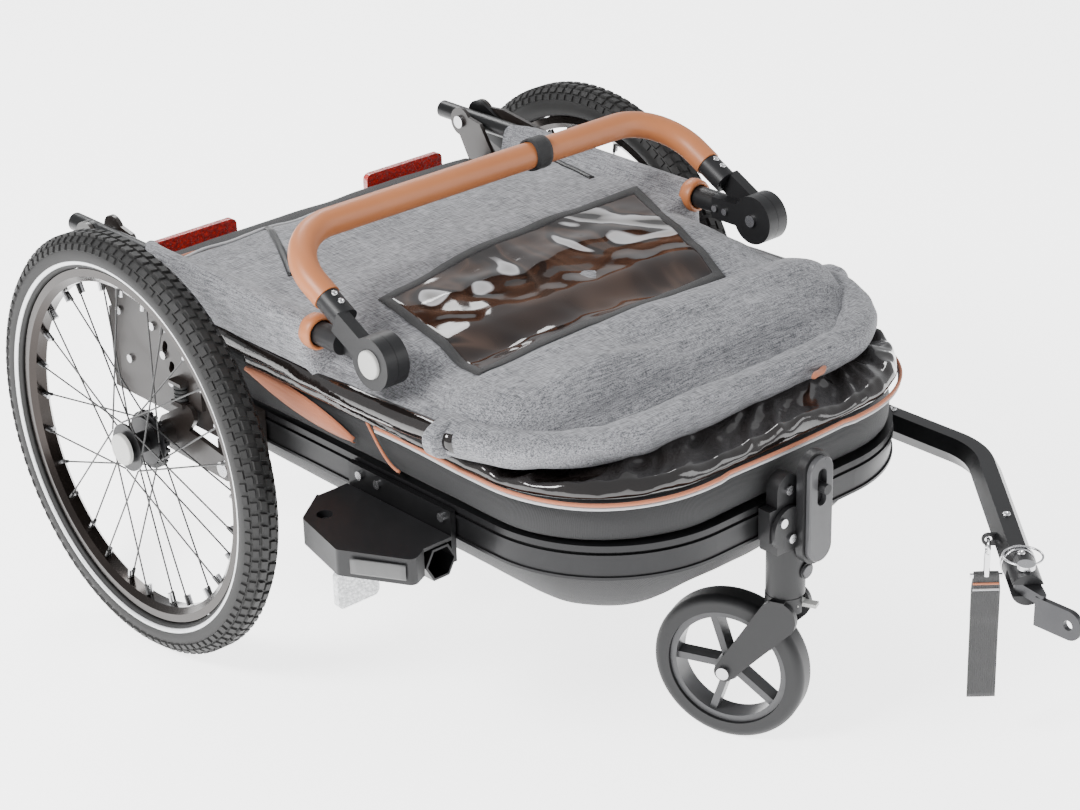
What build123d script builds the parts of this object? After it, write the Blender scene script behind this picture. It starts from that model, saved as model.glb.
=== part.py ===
from build123d import *

import os
from math import cos, degrees, radians, sin

# Child bicycle trailer, folded flat, in millimetres.
# +X is the trailer's left, -Y its front and +Z up. While it is drawn, y is measured from the
# wheel axle. save() then moves every piece so that the origin is the middle of the footprint.

# ---------------------------------------------------------------- driving dimensions
WHEEL_RADIUS = 250.0         # 20 inch wheel, over the tyre
TYRE_RADIUS = 23.5           # half the tyre's width
TRACK_HALF = 356.7           # centre plane of each wheel
SPOKES = 28
BRAKE_TEETH = 24

RAIL_HALF = 264.0            # outer face of the frame rail
RAIL_FRONT = -668.0
RAIL_REAR = 100.0
RAIL_CORNER = 160.0
RAIL_WALL = 20.0
RAIL_BOTTOM = 264.0
RAIL_TOP = 302.0

FOLD_Y = 148.0               # bolt that the legs and the bow turn on
FOLD_Z = 443.0
FOLD_BOLT = 5.0
LEG_X = 281.0                # centre of the leg tubes and the parting plane of the knuckles
LEG_RADIUS = 11.0
LEG_REAR = 203.0
BOW_Z = 388.0
BOW_RADIUS = 9.0
BOW_FRONT = -600.0
BOW_CORNER = 150.0

KNUCKLE_Y = -360.0
KNUCKLE_Z = FOLD_Z
KNUCKLE_RADIUS = 28.5
KNUCKLE_HALF = 14.6          # thickness of one half of a knuckle
ARM_SPLIT = 62.0             # within this distance of its axis each arm keeps to its own half
HANDLE_ANGLE = 27.6          # handle above level, folded back over the canopy
HANDLE_REACH = 188.0         # knuckle axis to the middle of the handle's cross bar
HANDLE_CORNER = 70.0
GRIP_RADIUS = 15.5

STEM_Y = -665.0
STEM_RADIUS = 21.0
STEM_BOTTOM = 185.0
CASTER_RADIUS = 85.4
CASTER_TRAIL = 58.8
CASTER_TURN = 22.4           # the caster stands turned by this angle
RELEASE_X = 8.0

HITCH_X = 289.0              # drawbar socket beside the rail
HITCH_Z = 247.0
DRAWBAR_FLATS = 30.0
SOCKET_FLATS = 36.0
SOCKET_FRONT = -452.0
DRAWBAR_BEND_Y = -687.0
DRAWBAR_BEND = 42.0
HITCH_PIN_RUN = 285.0        # from the drawbar's corner to the hitch pin
TONGUE_TIP = -982.0
TONGUE_HOLE = 5.5

FIT = 0.05                   # radial clearance of a part that turns or slides on a pin
GAP = 0.4                    # clearance between surfaces that only pass each other

FOOTPRINT_MIDDLE = (WHEEL_RADIUS + TONGUE_TIP) / 2
SIDES = (("right", -1), ("left", 1))

os.makedirs("parts", exist_ok=True)


# ---------------------------------------------------------------- helpers
def save(part, name, place=Location()):
    """Put a finished piece where it belongs, label it and write it."""
    placed = Pos(0, -FOOTPRINT_MIDDLE, 0) * place * part
    placed.label = name
    export_step(placed, f"parts/{name}.step")


def block(xs, ys, zs, mode=Mode.ADD):
    """Box between two values on each axis, in the part being built."""
    centre = [(low + high) / 2 for low, high in (xs, ys, zs)]
    size = [abs(high - low) for low, high in (xs, ys, zs)]
    with Locations(tuple(centre)):
        Box(*size, mode=mode)


def rod_x(x_from, x_to, y, z, radius, mode=Mode.ADD):
    """Round bar along X, in the part being built."""
    with Locations(((x_from + x_to) / 2, y, z)):
        Cylinder(radius, abs(x_to - x_from), rotation=(0, 90, 0), mode=mode)


def rod_z(z_from, z_to, x, y, radius, mode=Mode.ADD):
    """Round bar along Z, in the part being built."""
    with Locations((x, y, (z_from + z_to) / 2)):
        Cylinder(radius, abs(z_to - z_from), mode=mode)


def plan_outline(level, half, front, rear, front_radius, rear_radius=0.0):
    """Flat outline at a height: a rectangle with its front and rear corners rounded."""
    with BuildSketch(Plane.XY.offset(level)) as outline:
        with Locations((0, (front + rear) / 2)):
            Rectangle(2 * half, rear - front)
        fillet(outline.vertices().group_by(Axis.Y)[0], front_radius)
        if rear_radius:
            fillet(outline.vertices().group_by(Axis.Y)[-1], rear_radius)
    return outline.sketch


def lobes(plane, circles, thickness, mode=Mode.ADD):
    """Plate whose outline is the tight band round some circles (y, z, radius)."""
    with BuildSketch(plane) as outline:
        with BuildLine():
            for y, z, radius in circles:
                CenterArc((y, z), radius, 0, 360)
        make_hull()
    extrude(outline.sketch, amount=thickness, mode=mode)


# ---------------------------------------------------------------- frame rail
# Extruded aluminium rail, bent into a U. Its outer face has a groove and two ridges.
RAIL_BANDS = (               # (bottom, top, how far the outer face stands back)
    (RAIL_BOTTOM, RAIL_BOTTOM + 3, 0.0),
    (RAIL_BOTTOM + 3, RAIL_TOP - 14, 2.0),
    (RAIL_TOP - 14, RAIL_TOP - 10, 0.0),
    (RAIL_TOP - 10, RAIL_TOP - 7, 3.5),
    (RAIL_TOP - 7, RAIL_TOP, 1.0),
)
with BuildPart() as rail:
    for low, high, inset in RAIL_BANDS:
        add(plan_outline(low, RAIL_HALF - inset, RAIL_FRONT + inset, RAIL_REAR, RAIL_CORNER - inset))
        extrude(amount=high - low)
    add(plan_outline(RAIL_BOTTOM, RAIL_HALF - RAIL_WALL, RAIL_FRONT + RAIL_WALL, RAIL_REAR + 1,
                     RAIL_CORNER - RAIL_WALL))
    extrude(amount=RAIL_TOP - RAIL_BOTTOM, mode=Mode.SUBTRACT)
save(rail.part, "frame_rail")

CROSSBAR_Y = 112.0
CROSSBAR_Z = 283.0
BEAM_IN = RAIL_HALF + 0.3
with BuildPart() as crossbar:
    rod_x(-BEAM_IN, BEAM_IN, CROSSBAR_Y, CROSSBAR_Z, LEG_RADIUS)
    rod_x(-BEAM_IN, BEAM_IN, CROSSBAR_Y, CROSSBAR_Z, LEG_RADIUS - 1.5, Mode.SUBTRACT)
save(crossbar.part, "rear_crossbar")

# ---------------------------------------------------------------- side brackets
# A casting bolted along each side of the rail. It carries the fold bolt between two plates and
# the swing arm's pivot on a lug.
PLATE_IN = (262.0, 267.0)
PLATE_OUT = (299.0, 304.0)
ARM_PLATE = (305.0, 311.0)
ARM_PIVOT_Y = -105.0
ARM_PIVOT_Z = 240.0
LIP_Z = 318.0
SPRING_Y = -26.0
PIVOT_PIN = 6.0
PLATE_OUTLINE = ((99, 292), (100, 328), (107, 370), (118, 394), (150, 425), (150, 455), (106, 459),
                 (29, 448), (-30, 400), (-60, 345), (-60, 292))
INNER_OUTLINE = ((50, 303), (118, 303), (130, 390), (150, 425), (150, 455), (110, 448), (60, 372))
SLOTS = ((4.0, 352.0), (-6.0, 330.0))
for name, side in SIDES:
    with BuildPart() as bracket:
        block((side * BEAM_IN, side * PLATE_OUT[0]), (-125, 122), (RAIL_BOTTOM + 2, 303))
        block((side * BEAM_IN, side * PLATE_OUT[0]), (20, 122), (303, 366))
        with BuildSketch(Plane.YZ.offset(side * PLATE_OUT[0])):
            with BuildLine():
                Polyline(*PLATE_OUTLINE, close=True)
            make_face()
            with Locations((FOLD_Y, FOLD_Z)):
                Circle(20)
        extrude(amount=side * (PLATE_OUT[1] - PLATE_OUT[0]))
        with BuildSketch(Plane.YZ.offset(side * PLATE_IN[0])):
            with BuildLine():
                Polyline(*INNER_OUTLINE, close=True)
            make_face()
            with Locations((FOLD_Y, FOLD_Z)):
                Circle(18)
        extrude(amount=side * (PLATE_IN[1] - PLATE_IN[0]))
        block((side * BEAM_IN, side * PLATE_OUT[1]), (-125, -85), (223, RAIL_BOTTOM + 4))
        block((side * PLATE_OUT[0], side * (ARM_PLATE[1] + 5)), (SPRING_Y - 12, SPRING_Y + 12),
              (LIP_Z, LIP_Z + 4))
        with BuildSketch(Plane.YZ.offset(side * PLATE_OUT[0])):
            for y, z in SLOTS:
                with Locations((y, z)):
                    SlotOverall(16, 9, rotation=110)
        extrude(amount=side * 8, mode=Mode.SUBTRACT)
        rod_x(side * 250, side * 320, FOLD_Y, FOLD_Z, FOLD_BOLT + FIT, Mode.SUBTRACT)
        rod_x(side * 275, side * 320, ARM_PIVOT_Y, ARM_PIVOT_Z, PIVOT_PIN + FIT, Mode.SUBTRACT)
    save(bracket.part, f"side_bracket_{name}")

# ---------------------------------------------------------------- drawbar sockets and bumpers
SOCKET_REAR = -280.0
BUMPER_TOP = 270.0
BUMPER_OUTLINE = ((311, -275), (356, -308), (374, -388), (332, -462), (311, -452))
REFLECTOR_Y = -380.0
for name, side in SIDES:
    with BuildPart() as socket:
        with BuildSketch(Plane.XZ.offset(-SOCKET_FRONT)):
            with Locations((side * HITCH_X, HITCH_Z)):
                RegularPolygon(SOCKET_FLATS / 2, 6, major_radius=False, rotation=0)
                RegularPolygon(DRAWBAR_FLATS / 2 + GAP, 6, major_radius=False, mode=Mode.SUBTRACT)
        extrude(amount=-(SOCKET_REAR - SOCKET_FRONT))
        block((side * BEAM_IN, side * 271), (SOCKET_FRONT + 4, SOCKET_REAR), (238, 297))
        block((side * 268, side * 271.5), (SOCKET_FRONT + 4, SOCKET_REAR), (241, 253))
    save(socket.part, f"drawbar_socket_{name}")

    with BuildPart() as bumper:
        with BuildSketch(Plane.XY.offset(240)):
            with BuildLine():
                Polyline(*[(side * x, y) for x, y in BUMPER_OUTLINE], close=True)
            make_face()
        extrude(amount=BUMPER_TOP - 240)
        outer = bumper.edges().filter_by(Axis.Z)
        fillet(outer.sort_by(lambda edge: side * edge.center().X)[-3:], 8)
        block((side * 272, side * 312), (-450, -278), (BUMPER_TOP - 4, BUMPER_TOP))
        rod_z(BUMPER_TOP - 9, BUMPER_TOP + 1, side * 334, -318, 9, Mode.SUBTRACT)
    save(bumper.part, f"side_bumper_{name}")

with BuildPart() as front_reflectors:
    for name, side in SIDES:
        block((side * 318, side * 372), (REFLECTOR_Y - 4, REFLECTOR_Y + 4), (196, 239.5))
    fillet(front_reflectors.edges().filter_by(Axis.Y), 7)
save(front_reflectors.part, "front_reflectors")

with BuildPart() as rear_reflectors:
    for name, side in SIDES:
        block((side * 100, side * 222), (139, 147), (388, 415))
    fillet(rear_reflectors.edges().filter_by(Axis.Y), 8)
save(rear_reflectors.part, "rear_reflectors")

# ---------------------------------------------------------------- front bracket and stem
# The bracket is clamped to the middle of the rail's front. It holds the release plate and its pin.
BLOCK_BACK = RAIL_FRONT - 0.3
BLOCK_FRONT = -684.0
HOUSING_FRONT = -699.6
HOUSING_BACK = -690.0
PIN_Z = 318.0
BUTTON_X = 8.0
BUTTON_Z = 214.0
BUTTON_RADIUS = 7.0
with BuildPart() as front_bracket:
    block((-46, 30), (BLOCK_FRONT, BLOCK_BACK), (RAIL_BOTTOM, 300))
    with BuildSketch(Plane.XZ.offset(-BLOCK_BACK)):
        with Locations((-19, 308)):
            SlotOverall(52, 32, rotation=90)
    extrude(amount=BLOCK_BACK - BLOCK_FRONT)
    block((6, 28), (HOUSING_FRONT + 2, BLOCK_FRONT + 2), (266, 325))
    with BuildSketch(Plane.XZ.offset(-HOUSING_FRONT)):
        with Locations((RELEASE_X, 292)):
            SlotOverall(128, 42, rotation=90)
    extrude(amount=HOUSING_FRONT - HOUSING_BACK)
    with Locations((RELEASE_X, -702, PIN_Z)):
        Cylinder(5.6, 24, rotation=(90, 0, 0))
save(front_bracket.part, "front_bracket")

TAB_FRONT = HOUSING_BACK
with BuildPart() as stem:
    rod_z(STEM_BOTTOM, RAIL_BOTTOM - 1, 0, STEM_Y, STEM_RADIUS)
    with BuildSketch(Plane.XZ.offset(-BLOCK_FRONT + GAP)):
        with Locations((-21, 274)):
            SlotOverall(50, 46, rotation=90)
    extrude(amount=BLOCK_FRONT - TAB_FRONT - GAP)
    block((-40, -2), (TAB_FRONT, STEM_Y), (250, 262))
    rod_z(STEM_BOTTOM - 1, STEM_BOTTOM + 48, 0, STEM_Y, 8 + FIT, Mode.SUBTRACT)
    with Locations((BUTTON_X, STEM_Y - STEM_RADIUS + 2, BUTTON_Z)):
        Cylinder(BUTTON_RADIUS + 2, 8, rotation=(90, 0, 0))
    with Locations((BUTTON_X, STEM_Y - STEM_RADIUS - 1, BUTTON_Z)):
        Cylinder(BUTTON_RADIUS + GAP, 14, rotation=(90, 0, 0), mode=Mode.SUBTRACT)
save(stem.part, "caster_stem")

BUTTON_OUT = STEM_Y - STEM_RADIUS - 4
with BuildPart() as stem_button:
    with BuildSketch(Plane.XZ.offset(-BUTTON_OUT)):
        with Locations((BUTTON_X, BUTTON_Z)):
            Circle(BUTTON_RADIUS)
    extrude(amount=-7)
    fillet(stem_button.edges().sort_by(Axis.Y)[0], 1)
save(stem_button.part, "stem_button")

RELEASE_BACK = HOUSING_FRONT - GAP
with BuildPart() as release:
    with BuildSketch(Plane.XZ.offset(-RELEASE_BACK)):
        with Locations((RELEASE_X, 292)):
            SlotOverall(120, 34, rotation=90)
        with Locations((RELEASE_X, PIN_Z)):
            SlotOverall(42, 13.4, rotation=90, mode=Mode.SUBTRACT)
    extrude(amount=6)
    fillet(release.faces().sort_by(Axis.Y)[0].outer_wire().edges(), 1.5)
save(release.part, "release_plate")

# ---------------------------------------------------------------- screws of the frame
# Pan head screws, one solid each: (x, y, z) of the seat and the direction that the head faces.
SCREW_RADIUS = 5.0
SCREW_HEAD = 3.0
screws = [(-19, BLOCK_FRONT, 317, "front"), (-33, TAB_FRONT, 286, "front"),
          (-20, TAB_FRONT, 264, "front")]
for name, side in SIDES:
    for y in (-435, -330, -300):
        screws.append((side * 271, y, 287, side))
    for y, z in ((76, 316), (24, 372), (6, 342), (-6, 312), (90, 372)):
        screws.append((side * PLATE_OUT[1], y, z, side))
with BuildPart() as fasteners:
    for x, y, z, facing in screws:
        if facing == "front":
            with Locations((x, y - 0.1 - SCREW_HEAD / 2, z)):
                Cylinder(SCREW_RADIUS, SCREW_HEAD, rotation=(90, 0, 0))
        else:
            rod_x(x + facing * 0.1, x + facing * (0.1 + SCREW_HEAD), y, z, SCREW_RADIUS)
    for name, side in SIDES:
        rod_x(side * 261.8, side * 304.2, FOLD_Y, FOLD_Z, FOLD_BOLT)
        rod_x(side * 258, side * 261.8, FOLD_Y, FOLD_Z, 8)
        rod_x(side * 304.2, side * 308, FOLD_Y, FOLD_Z, 8)
        rod_x(side * 280, side * 311.5, ARM_PIVOT_Y, ARM_PIVOT_Z, PIVOT_PIN)
        rod_x(side * 311.5, side * 315, ARM_PIVOT_Y, ARM_PIVOT_Z, 9)
save(fasteners.part, "frame_fasteners")

# ---------------------------------------------------------------- soft parts on the base
TUB_REAR = 62.0
TUB_BOTTOM = 180.0
TUB_WALL = 4.0
TUB_TOP = 300.0
TUB_HALF = RAIL_HALF - RAIL_WALL - 0.8
TUB_FRONT = -641.0
TUB_CORNER = RAIL_CORNER - RAIL_WALL


def tub_body(shrink):
    """Solid of the tub, upright at the rail and tapered below it."""
    taper = 40.0
    floor_level = TUB_BOTTOM + shrink
    floor = plan_outline(floor_level, TUB_HALF - taper - shrink, TUB_FRONT + taper + shrink,
                         TUB_REAR - shrink, TUB_CORNER - 20, 20)
    brim = plan_outline(RAIL_BOTTOM, TUB_HALF - shrink, TUB_FRONT + shrink, TUB_REAR - shrink,
                        TUB_CORNER, 20)
    with BuildPart() as body:
        add(floor)
        add(brim)
        loft()
        add(brim)
        extrude(amount=TUB_TOP - RAIL_BOTTOM + shrink)
    return body.part


with BuildPart() as tub:
    add(tub_body(0))
    add(tub_body(TUB_WALL), mode=Mode.SUBTRACT)
save(tub.part, "fabric_tub")

BAND_TOP = 350.0
COVER_TOP = 377.0
with BuildPart() as band:
    add(plan_outline(RAIL_TOP + 0.5, RAIL_HALF - 2, RAIL_FRONT + 6, TUB_REAR, RAIL_CORNER - 6, 10))
    extrude(amount=BAND_TOP - RAIL_TOP - 0.5)
    fillet(band.faces().sort_by(Axis.Z)[-1].outer_wire().edges(), 8)
    add(plan_outline(RAIL_TOP, RAIL_HALF - 28, RAIL_FRONT + 34, TUB_REAR - 24, RAIL_CORNER - 30, 6))
    extrude(amount=BAND_TOP - RAIL_TOP + 1, mode=Mode.SUBTRACT)
    for name, side in SIDES:
        block((side * 256.5, side * 280), (-128, TUB_REAR + 2), (RAIL_TOP, BAND_TOP + 1), Mode.SUBTRACT)
save(band.part, "side_band")

with BuildPart() as rain_cover:
    add(plan_outline(BAND_TOP + 0.5, RAIL_HALF + 4, RAIL_FRONT + 12, -96, RAIL_CORNER - 8, 0))
    extrude(amount=COVER_TOP - BAND_TOP - 0.5)
    fillet(rain_cover.faces().sort_by(Axis.Z)[-1].outer_wire().edges(), 9)
    add(plan_outline(BAND_TOP, RAIL_HALF - 30, RAIL_FRONT + 46, -90, RAIL_CORNER - 34, 0))
    extrude(amount=COVER_TOP - BAND_TOP + 1, mode=Mode.SUBTRACT)
save(rain_cover.part, "rain_cover")

with BuildPart() as rear_panel:
    block((-255, 255), (66, 138.5), (306, 408))
    fillet(rear_panel.edges().filter_by(Axis.X), 10)
save(rear_panel.part, "rear_panel")

with BuildPart() as seat:
    block((-188, 188), (-330, 10), (187, 222))
    fillet(seat.edges().filter_by(Axis.Z), 40)
    fillet(seat.faces().sort_by(Axis.Z)[-1].edges(), 10)
save(seat.part, "seat_hammock")

# ---------------------------------------------------------------- suspension and wheels
ARM_LOBES = ((ARM_PIVOT_Y, ARM_PIVOT_Z, 15), (0, WHEEL_RADIUS, 21))
SPRING_LOBES = ((0, WHEEL_RADIUS, 21), (-40, 284, 12))
BOSS_END = 331.0
HUB_IN = 332.0
HUB_OUT = 369.0
AXLE_RADIUS = 6.0
AXLE_INNER = 313.0
CAP_IN = 373.0
CAP_OUT = 378.0
FLANGE_RADIUS = 28.0
FLANGE_OFFSET = 14.0
RIM_IN = 193.0
RIM_OUT = 209.0
RIM_HALF = 12.5
SPRING_RADIUS = 9.0

for name, side in SIDES:
    with BuildPart() as arm:
        for circles in (ARM_LOBES, SPRING_LOBES):
            lobes(Plane.YZ.offset(side * ARM_PLATE[0]), circles, side * (ARM_PLATE[1] - ARM_PLATE[0]))
        rod_x(side * ARM_PLATE[1], side * BOSS_END, 0, WHEEL_RADIUS, 15)
        block((side * ARM_PLATE[0], side * (ARM_PLATE[1] + 4)), (SPRING_Y - 11, SPRING_Y + 11), (291, 297))
        rod_x(side * (AXLE_INNER - 4), side * (BOSS_END + 1), 0, WHEEL_RADIUS, AXLE_RADIUS + FIT,
              Mode.SUBTRACT)
        rod_x(side * 280, side * 320, ARM_PIVOT_Y, ARM_PIVOT_Z, PIVOT_PIN + FIT, Mode.SUBTRACT)
    save(arm.part, f"swing_arm_{name}")

    with BuildPart() as spring:
        rod_z(297.2, LIP_Z - 0.2, side * 306.5, SPRING_Y, SPRING_RADIUS - 2)
        for level in (300, 305, 310, 315):
            rod_z(level - 1.6, level + 1.6, side * 306.5, SPRING_Y, SPRING_RADIUS)
        block((side * 290, side * (PLATE_OUT[1] + 0.5)), (-40, 0), (295, 320), Mode.SUBTRACT)
    save(spring.part, f"spring_{name}")

    with BuildPart() as axle:
        rod_x(side * AXLE_INNER, side * CAP_IN, 0, WHEEL_RADIUS, AXLE_RADIUS)
        rod_x(side * CAP_IN, side * CAP_OUT, 0, WHEEL_RADIUS, 18.5)
        rim_edge = axle.faces().sort_by(Axis.X)[0 if side < 0 else -1].edges()
        fillet(rim_edge, 1.5)
    save(axle.part, f"axle_{name}")

    with BuildPart() as tyre:
        with BuildSketch(Plane.XY.offset(WHEEL_RADIUS)):
            with Locations((side * TRACK_HALF, WHEEL_RADIUS - TYRE_RADIUS)):
                Circle(TYRE_RADIUS)
                Circle(TYRE_RADIUS - 4, mode=Mode.SUBTRACT)
            with Locations((side * TRACK_HALF, RIM_OUT - 20 + 0.3)):
                Rectangle(2 * TYRE_RADIUS + 2, 40, mode=Mode.SUBTRACT)
        revolve(axis=Axis((0, 0, WHEEL_RADIUS), (1, 0, 0)))
    save(tyre.part, f"tyre_{name}")

    with BuildPart() as rim:
        with BuildSketch(Plane.XY.offset(WHEEL_RADIUS)):
            with BuildLine():
                Polyline(*[(side * TRACK_HALF + across, radius) for across, radius in (
                    (-RIM_HALF, RIM_OUT), (-RIM_HALF, 200), (-7, RIM_IN), (7, RIM_IN), (RIM_HALF, 200),
                    (RIM_HALF, RIM_OUT), (RIM_HALF - 2, RIM_OUT), (RIM_HALF - 2, 203),
                    (2 - RIM_HALF, 203), (2 - RIM_HALF, RIM_OUT))], close=True)
            make_face()
        revolve(axis=Axis((0, 0, WHEEL_RADIUS), (1, 0, 0)))
    save(rim.part, f"rim_{name}")

    with BuildPart() as hub:
        rod_x(side * HUB_IN, side * HUB_OUT, 0, WHEEL_RADIUS, 12)
        for offset in (-FLANGE_OFFSET, FLANGE_OFFSET):
            middle = side * (TRACK_HALF + offset)
            if abs(middle) + 1.5 > HUB_OUT:
                middle = side * (HUB_OUT - 1.5)
            rod_x(middle - 1.5, middle + 1.5, 0, WHEEL_RADIUS, FLANGE_RADIUS)
        rod_x(side * HUB_IN, side * HUB_OUT, 0, WHEEL_RADIUS, AXLE_RADIUS + FIT, Mode.SUBTRACT)
    save(hub.part, f"hub_{name}")

    with BuildPart() as spokes:
        for index in range(SPOKES):
            outboard = 1 if index % 2 else -1
            lean = 1 if index % 4 < 2 else -1
            at_rim = 360.0 / SPOKES * index
            at_hub = at_rim + lean * 62
            start = Vector(side * (TRACK_HALF + outboard * FLANGE_OFFSET * 0.86),
                           FLANGE_RADIUS * cos(radians(at_hub)) * 1.07,
                           WHEEL_RADIUS + FLANGE_RADIUS * sin(radians(at_hub)) * 1.07)
            end = Vector(side * (TRACK_HALF + outboard * 4), (RIM_IN - 1) * cos(radians(at_rim)),
                         WHEEL_RADIUS + (RIM_IN - 1) * sin(radians(at_rim)))
            with BuildSketch(Plane(start, z_dir=end - start)):
                Circle(1.0)
            extrude(amount=(end - start).length)
            with BuildSketch(Plane(end, z_dir=start - end)):
                Circle(2.0)
            extrude(amount=12)
    save(spokes.part, f"spokes_{name}")

    with BuildPart() as brake_ring:
        rod_x(side * (HUB_IN + 1.5), side * 340.5, 0, WHEEL_RADIUS, 34)
        rod_x(side * HUB_IN, side * 342, 0, WHEEL_RADIUS, 12.3, Mode.SUBTRACT)
        for index in range(BRAKE_TEETH):
            turn = radians(360.0 / BRAKE_TEETH * index)
            with Locations((side * 335.5, 34 * cos(turn), WHEEL_RADIUS + 34 * sin(turn))):
                Box(8, 12, 4.4, rotation=(degrees(turn), 0, 0), mode=Mode.SUBTRACT)
    save(brake_ring.part, f"brake_ring_{name}")

# ---------------------------------------------------------------- folding legs
LEG_ARM_RADIUS = 13.0
LEG_ARM_END = KNUCKLE_Y + 112
ARM_HEIGHT = 13.0            # half the height of the arms beside the knuckle
KNUCKLE_BOLT = 4.0
KNUCKLE_IN = LEG_X - 0.2 - KNUCKLE_HALF
for name, side in SIDES:
    with BuildPart() as leg:
        with BuildSketch(Plane.XZ.offset(-LEG_REAR)):
            with Locations((side * LEG_X, FOLD_Z)):
                Circle(LEG_RADIUS)
        extrude(amount=LEG_REAR - (KNUCKLE_Y + ARM_SPLIT + 12))
        with BuildSketch(Plane.XZ.offset(-LEG_REAR + 3)):
            with Locations((side * LEG_X, FOLD_Z)):
                Circle(LEG_RADIUS - 1.5)
        extrude(amount=LEG_REAR - KNUCKLE_Y, mode=Mode.SUBTRACT)
        rod_x(side * 260, side * 300, FOLD_Y, FOLD_Z, FOLD_BOLT + FIT, Mode.SUBTRACT)
    save(leg.part, f"leg_{name}")

    with BuildPart() as leg_arm:
        rod_x(side * KNUCKLE_IN, side * (LEG_X - 0.2), KNUCKLE_Y, KNUCKLE_Z, KNUCKLE_RADIUS)
        block((side * KNUCKLE_IN, side * (LEG_X - 0.2)), (KNUCKLE_Y, KNUCKLE_Y + ARM_SPLIT + 2),
              (KNUCKLE_Z - ARM_HEIGHT, KNUCKLE_Z + ARM_HEIGHT))
        with BuildSketch(Plane.XZ.offset(-LEG_ARM_END)):
            with Locations((side * LEG_X, KNUCKLE_Z)):
                Circle(LEG_ARM_RADIUS)
        extrude(amount=LEG_ARM_END - KNUCKLE_Y - ARM_SPLIT)
        with BuildSketch(Plane.XZ.offset(-LEG_ARM_END)):
            with Locations((side * LEG_X, KNUCKLE_Z)):
                Circle(LEG_RADIUS + FIT)
        extrude(amount=LEG_ARM_END - KNUCKLE_Y - ARM_SPLIT - 11, mode=Mode.SUBTRACT)
        rod_x(side * 250, side * 290, KNUCKLE_Y, KNUCKLE_Z, KNUCKLE_BOLT + FIT, Mode.SUBTRACT)
    save(leg_arm.part, f"leg_arm_{name}")

with BuildPart() as knuckle_screws:
    for name, side in SIDES:
        rod_x(side * (KNUCKLE_IN - 0.1), side * 285.5, KNUCKLE_Y, KNUCKLE_Z, KNUCKLE_BOLT)
        rod_x(side * (KNUCKLE_IN - 3.6), side * (KNUCKLE_IN - 0.1), KNUCKLE_Y, KNUCKLE_Z, 7)
        for along in (ARM_SPLIT - 20, ARM_SPLIT - 4):
            rod_x(side * (KNUCKLE_IN - 2.6), side * (KNUCKLE_IN - 0.1), KNUCKLE_Y + along, KNUCKLE_Z, 4)
save(knuckle_screws.part, "knuckle_screws")

# ---------------------------------------------------------------- canopy
# The fabric lies folded over the bow and between the legs: a flat margin and a raised middle.
CANOPY_LOW = 398.4
CANOPY_BRIM = 412.0
CANOPY_PROFILE = ((58, CANOPY_BRIM), (58, 424), (20, 436), (-100, 446), (-300, 440), (-440, 426),
                  (-560, 418), (-584, CANOPY_BRIM))
with BuildPart() as canopy:
    add(plan_outline(CANOPY_BRIM - 1, 256, -590, 60, 145, 12))
    extrude(amount=60)
    with BuildSketch(Plane.YZ.offset(-260)):
        with BuildLine():
            Polyline(*CANOPY_PROFILE, close=True)
        make_face()
    extrude(amount=520, mode=Mode.INTERSECT)
    add(plan_outline(CANOPY_LOW, 286, -602, 44, 152, 20))
    extrude(amount=CANOPY_BRIM - CANOPY_LOW)
save(canopy.part, "canopy")

# ---------------------------------------------------------------- bow
# A hoop that carries the front of the canopy. It turns on the fold bolts, half as fast as the legs.
LINK_PLATE = (293.0, 298.0)
BOW_LOBES = ((FOLD_Y, FOLD_Z, 20), (5, BOW_Z, 12))
with BuildPart() as bow:
    with BuildLine(Plane.XY.offset(BOW_Z)) as hoop:
        FilletPolyline((-LEG_X, 20), (-LEG_X, BOW_FRONT), (LEG_X, BOW_FRONT), (LEG_X, 20), radius=BOW_CORNER)
    with BuildSketch(Plane.XZ.offset(-20)):
        with Locations((-LEG_X, BOW_Z)):
            Circle(BOW_RADIUS)
    sweep()
    for name, side in SIDES:
        lobes(Plane.YZ.offset(side * LINK_PLATE[0]), BOW_LOBES, side * (LINK_PLATE[1] - LINK_PLATE[0]))
        rod_x(side * LEG_X, side * LINK_PLATE[1], 5, BOW_Z, 8)
        rod_x(side * 285, side * 305, FOLD_Y, FOLD_Z, FOLD_BOLT + FIT, Mode.SUBTRACT)
save(bow.part, "bow")

# ---------------------------------------------------------------- handle
# Drawn level with the knuckle's axis at y = 0, then tilted into place.
HANDLE_TUBE = 11.0
HANDLE_ARM_RADIUS = 14.0
HANDLE_ARM_END = 95.0
BUTTON_FACE = 299.5
FOLD_BUTTON_RADIUS = 15.5
handle_place = Location((0, KNUCKLE_Y, KNUCKLE_Z), (HANDLE_ANGLE, 0, 0))


def handle_path(start, inner, outer):
    """Tube round the handle's U, from this distance out from the knuckle axis."""
    with BuildPart() as tube:
        with BuildLine() as path:
            FilletPolyline((-LEG_X, start), (-LEG_X, HANDLE_REACH), (LEG_X, HANDLE_REACH), (LEG_X, start),
                           radius=HANDLE_CORNER)
        with BuildSketch(Plane.XZ.offset(-start)):
            with Locations((-LEG_X, 0)):
                Circle(outer)
                Circle(inner, mode=Mode.SUBTRACT)
        sweep()
    return tube.part


save(handle_path(ARM_SPLIT + 4, HANDLE_TUBE - 1.5, HANDLE_TUBE), "handle_tube", handle_place)
save(handle_path(HANDLE_ARM_END + GAP, HANDLE_TUBE + 0.1, GRIP_RADIUS), "handle_grip", handle_place)

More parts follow.
